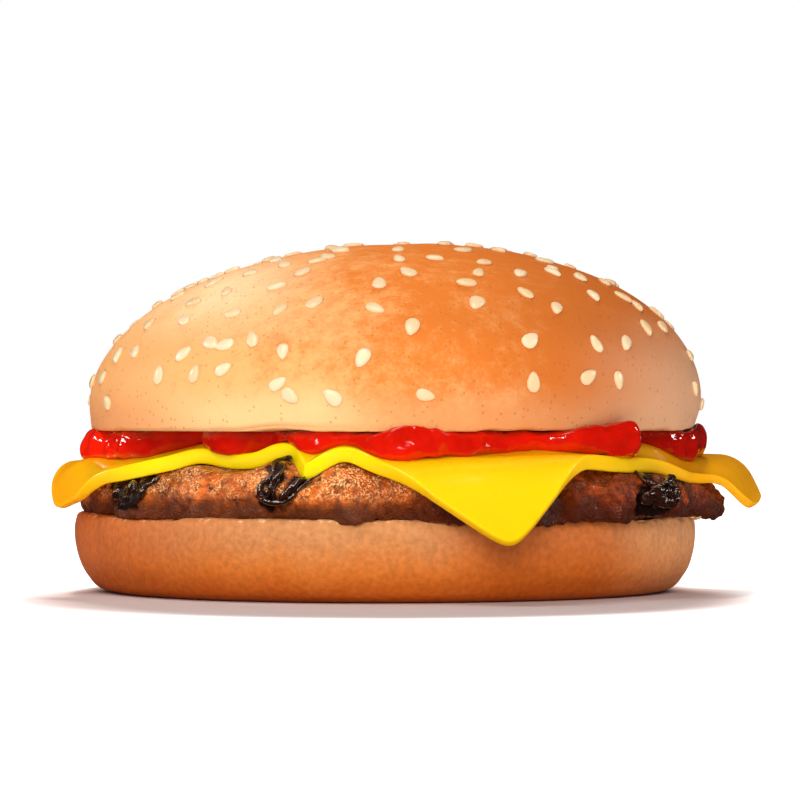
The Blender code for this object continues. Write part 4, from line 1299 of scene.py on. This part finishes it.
class MakeSeeds(bpy.types.Operator):
    """Strew the sesame seeds over the upper bun"""

    bl_idname = "burger.make_seeds"
    bl_label = "Sesame seeds"

    def execute(self, context):
        """Each seed is a flattened drop, cut off flat below its widest ring.

        Its rings are ellipses, narrower at one end, that shrink by a cosine to its top and foot.
        """
        settings = context.scene.seeds
        frames = self.frames(settings, context.scene.upper_bun)
        seeds = len(frames)
        middle, along, across, normal = (
            np.array([seat[part] for seat in frames])[:, None, None] for part in range(4)
        )
        middle = middle + normal * crust_swell(middle)[..., None]
        length, width = (
            np.array([seat[part] for seat in frames])[:, None, None, None] for part in (4, 5)
        )
        tone = np.random.default_rng(settings.draw + 1).random(seeds)
        turn = full_turn(SEED_SIDES)[None, ..., None]
        tilt = np.radians(np.linspace(90, -50, SEED_ROWS))[None, :, None, None]
        share = np.cos(tilt) ** 0.62
        narrower = 1 - 0.30 * np.cos(turn)
        half = settings.thickness * 0.5
        points = (
            middle
            + along * (0.5 * length * share * np.cos(turn))
            + across * (0.5 * width * share * np.sin(turn) * narrower)
            + normal * (half * SEED_PROUD + half * (1 + 0.12 * np.cos(turn)) * np.sin(tilt))
            + (CROWN_X, 0.0, CROWN_BASE)
        )
        corners, sizes, each = self.faces(seeds)
        tops = points[:, :1].mean(axis=2)
        places = np.concatenate((tops, points[:, 1:].reshape(seeds, -1, 3)), axis=1).reshape(-1, 3)
        piece = mesh_object(
            "sesame_seeds", places, corners, sizes, self.material(settings), tone=np.repeat(tone, each),
        )
        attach(piece, "root")
        return {"FINISHED"}

    def faces(self, seeds):
        """Corners and sizes of all the seeds' faces, and how many points a seed has.

        A seed's points are its top and then its rings, and one flat face closes its foot.
        """
        each = 1 + (SEED_ROWS - 1) * SEED_SIDES
        ring = np.arange(SEED_SIDES)
        after = (ring + 1) % SEED_SIDES
        start = 1 + np.arange(SEED_ROWS - 2)[:, None] * SEED_SIDES
        below = start + SEED_SIDES
        quads = np.stack((start + ring, below + ring, below + after, start + after), axis=-1)
        cap = np.stack((np.zeros(SEED_SIDES, int), 1 + ring, 1 + after), axis=-1)
        foot = each - 1 - ring
        faces = np.concatenate((quads.ravel(), cap.ravel(), foot))
        sizes = np.concatenate((np.full(quads.size // 4, 4), np.full(SEED_SIDES, 3), (SEED_SIDES,)))
        corners = (np.arange(seeds)[:, None] * each + faces).ravel()
        return corners, np.tile(sizes, seeds), each

    def frames(self, settings, bun):
        """Middle, three directions, length and width of every seed, from the middle of the cut.

        Candidates fall evenly on the dome's area. Steep places keep fewer, as when seeds are
        strewn from above, and each stays its spacing away from the others. The last few lie
        against a seed that is already there.
        """
        draw = np.random.default_rng(settings.draw)
        frames = []
        spots = np.empty((0, 3))
        while len(frames) < settings.count:
            share, azimuth, keep = draw.random(3) * (SEED_LOWEST, 2 * np.pi, 1.0)
            spin, size, slim = draw.random(3)
            fall = min(share, 1.0) * np.pi / 2
            down, out = bun.rise * np.sin(fall), bun.radius * np.cos(fall)
            area = np.sin(fall) * np.hypot(down, out) / bun.radius
            flatness = out / np.hypot(down, out)
            spot = crust_point(share, azimuth, bun.radius, bun.rise)
            nearest = np.linalg.norm(spots - spot, axis=1).min(initial=1.0)
            pairing = len(frames) >= settings.count - SEED_PAIRS
            if pairing and not SEED_TOUCHING < nearest < SEED_TOUCHING * 1.15:
                continue
            if keep > area * (SEED_STEEP + (1 - SEED_STEEP) * flatness):
                continue
            if nearest < settings.spacing and not pairing:
                continue
            slope = unit(spot - crust_point(share - 0.001, azimuth, bun.radius, bun.rise))
            level = np.array((np.cos(azimuth), np.sin(azimuth), 0.0))
            normal = np.cross(slope, level)
            along = np.cos(2 * np.pi * spin) * slope + np.sin(2 * np.pi * spin) * level
            length = settings.length * (0.9 + 0.2 * size)
            width = settings.width * (0.9 + 0.2 * size) * (0.92 + 0.16 * slim)
            frames.append((spot, along, np.cross(normal, along), normal, length, width))
            spots = np.vstack((spots, spot))
        return frames

    def material(self, settings):
        material, tree, shader, place = new_material(
            "sesame", Roughness=0.34, Specular_IOR_Level=0.5, Coat_Weight=0.2, Coat_Roughness=0.2,
        )
        toasted = rgba(scaled(settings.colour, SEED_TOASTED))
        tone = blended(tree, field(tree, "tone"), toasted, rgba(settings.colour))
        tree.links.new(tone, shader["Base Color"])
        grainy(tree, shader, place, scale=1500.0, detail=2.0, distance=0.00006, strength=0.5)
        return material


class SetStage(bpy.types.Operator):
    """Set the floor, the lights and the camera"""

    bl_idname = "burger.set_stage"
    bl_label = "Stage"

    def execute(self, context):
        settings = context.scene.stage
        context.scene.view_settings.view_transform = "Standard"
        self.floor(settings)
        self.room(settings, context.scene)
        self.lights(settings)
        self.camera(context.scene)
        return {"FINISHED"}

    def floor(self, settings):
        """A square that is darker round the burger, a painted shadow where its shadow falls, and white
        and faintly lit beyond.
        """
        square = np.array(((-1, -1, 0), (1, -1, 0), (1, 1, 0), (-1, 1, 0)))
        corners = FLOOR_HALF * square - (0, 0, FLOOR_UNDER)
        material, tree, shader, place = new_material("pale_floor", Roughness=0.8, Specular_IOR_Level=0.0)
        away = node(tree, "VectorMath", {0: place, 1: FLOOR_SHADOW_MIDDLE}, operation="DISTANCE")
        far = spread(tree, away.outputs["Value"], *FLOOR_FAR)
        tree.links.new(blended(tree, far, rgba(settings.floor), WHITE), shader["Base Color"])
        tree.links.new(blended(tree, far, (0.0, 0.0, 0.0, 1.0), WHITE), shader["Emission Color"])
        shader["Emission Strength"].default_value = 0.4
        floor = mesh_object("floor", corners, np.arange(4), np.array((4,)), material)
        floor.visible_glossy = False

    def room(self, settings, scene):
        """White all round: full where it is seen, weaker as light and weakest in reflections."""
        world = bpy.data.worlds.new("pale_room")
        scene.world = world
        world.use_nodes = True
        tree = world.node_tree
        background = tree.nodes["Background"]
        path = node(tree, "LightPath").outputs
        lit = {0: path["Is Glossy Ray"], 3: settings.ambient, 4: settings.mirrored}
        light = node(tree, "MapRange", lit)
        strength = node(tree, "MapRange", {0: path["Is Camera Ray"], 3: light.outputs[0], 4: 1.0})
        background.inputs["Color"].default_value = WHITE
        tree.links.new(strength.outputs[0], background.inputs["Strength"])

    def lights(self, settings):
        """A sun behind, soft lights above and in front, and small lights that only make highlights."""
        sun = bpy.data.lights.new("rear_light", "SUN")
        sun.energy = settings.rear
        sun.angle = np.radians(SUN_SOFTNESS)
        self.aimed("rear_light", sun, (0.0, 1.0, 1.0)).visible_glossy = False
        self.softbox("upper_light", settings.upper, 0.4, (-0.24, -0.26, 0.95))
        self.softbox("front_light", settings.front, 0.6, (-0.02, -1.12, 0.45)).visible_glossy = False
        for side, place in SPARKLES.items():
            self.softbox(side + "_sparkle", settings.sparkle, 0.14, place).visible_diffuse = False

    def camera(self, scene):
        camera = bpy.data.cameras.new("camera")
        camera.lens = CAMERA_LENS
        camera.shift_y = CAMERA_SHIFT
        view = bpy.data.objects.new("camera", camera)
        view.location = CAMERA_PLACE
        view.rotation_euler = (np.pi / 2, 0.0, 0.0)
        scene.collection.objects.link(view)
        scene.camera = view

    def softbox(self, name, power, size, place):
        light = bpy.data.lights.new(name, "AREA")
        light.energy = power
        light.size = size
        return self.aimed(name, light, place)

    def aimed(self, name, light, place):
        """A lamp at its place, turned to the middle of the burger."""
        lamp = bpy.data.objects.new(name, light)
        lamp.location = place
        aim = Vector(LIGHTS_AIM) - lamp.location
        lamp.rotation_euler = aim.to_track_quat("-Z", "Y").to_euler()
        bpy.context.scene.collection.objects.link(lamp)
        return lamp


class BurgerPanel(bpy.types.Panel):
    bl_idname = "VIEW3D_PT_burger"
    bl_label = "Hamburger"
    bl_space_type = "VIEW_3D"
    bl_region_type = "UI"
    bl_category = "Burger"

    def draw(self, context):
        for maker in MAKERS:
            self.layout.operator(maker.bl_idname)


SETTINGS = {
    "lower_bun": LowerBunSettings,
    "crumbs": CrumbSettings,
    "patty": PattySettings,
    "cheese": CheeseSettings,
    "sauce": SauceSettings,
    "upper_bun": UpperBunSettings,
    "seeds": SeedSettings,
    "stage": StageSettings,
}
MAKERS = (
    MakeLowerBun,
    MakeCrumbs,
    MakePatty,
    MakeBurntJuice,
    MakeCheese,
    MakeSauce,
    MakeUpperBun,
    MakeSeeds,
    SetStage,
)


def register():
    for kind in (*SETTINGS.values(), *MAKERS, BurgerPanel):
        bpy.utils.register_class(kind)
    for name, kind in SETTINGS.items():
        setattr(bpy.types.Scene, name, PointerProperty(type=kind))


def unregister():
    for name in SETTINGS:
        delattr(bpy.types.Scene, name)
    for kind in (BurgerPanel, *MAKERS, *SETTINGS.values()):
        bpy.utils.unregister_class(kind)


def main():
    register()
    bpy.ops.burger.make_lower_bun()
    bpy.ops.burger.make_crumbs()
    bpy.ops.burger.make_patty()
    bpy.ops.burger.make_burnt_juice()
    bpy.ops.burger.make_cheese()
    bpy.ops.burger.make_sauce()
    bpy.ops.burger.make_upper_bun()
    bpy.ops.burger.make_seeds()
    bpy.ops.burger.set_stage()


if __name__ == "__main__":
    main()
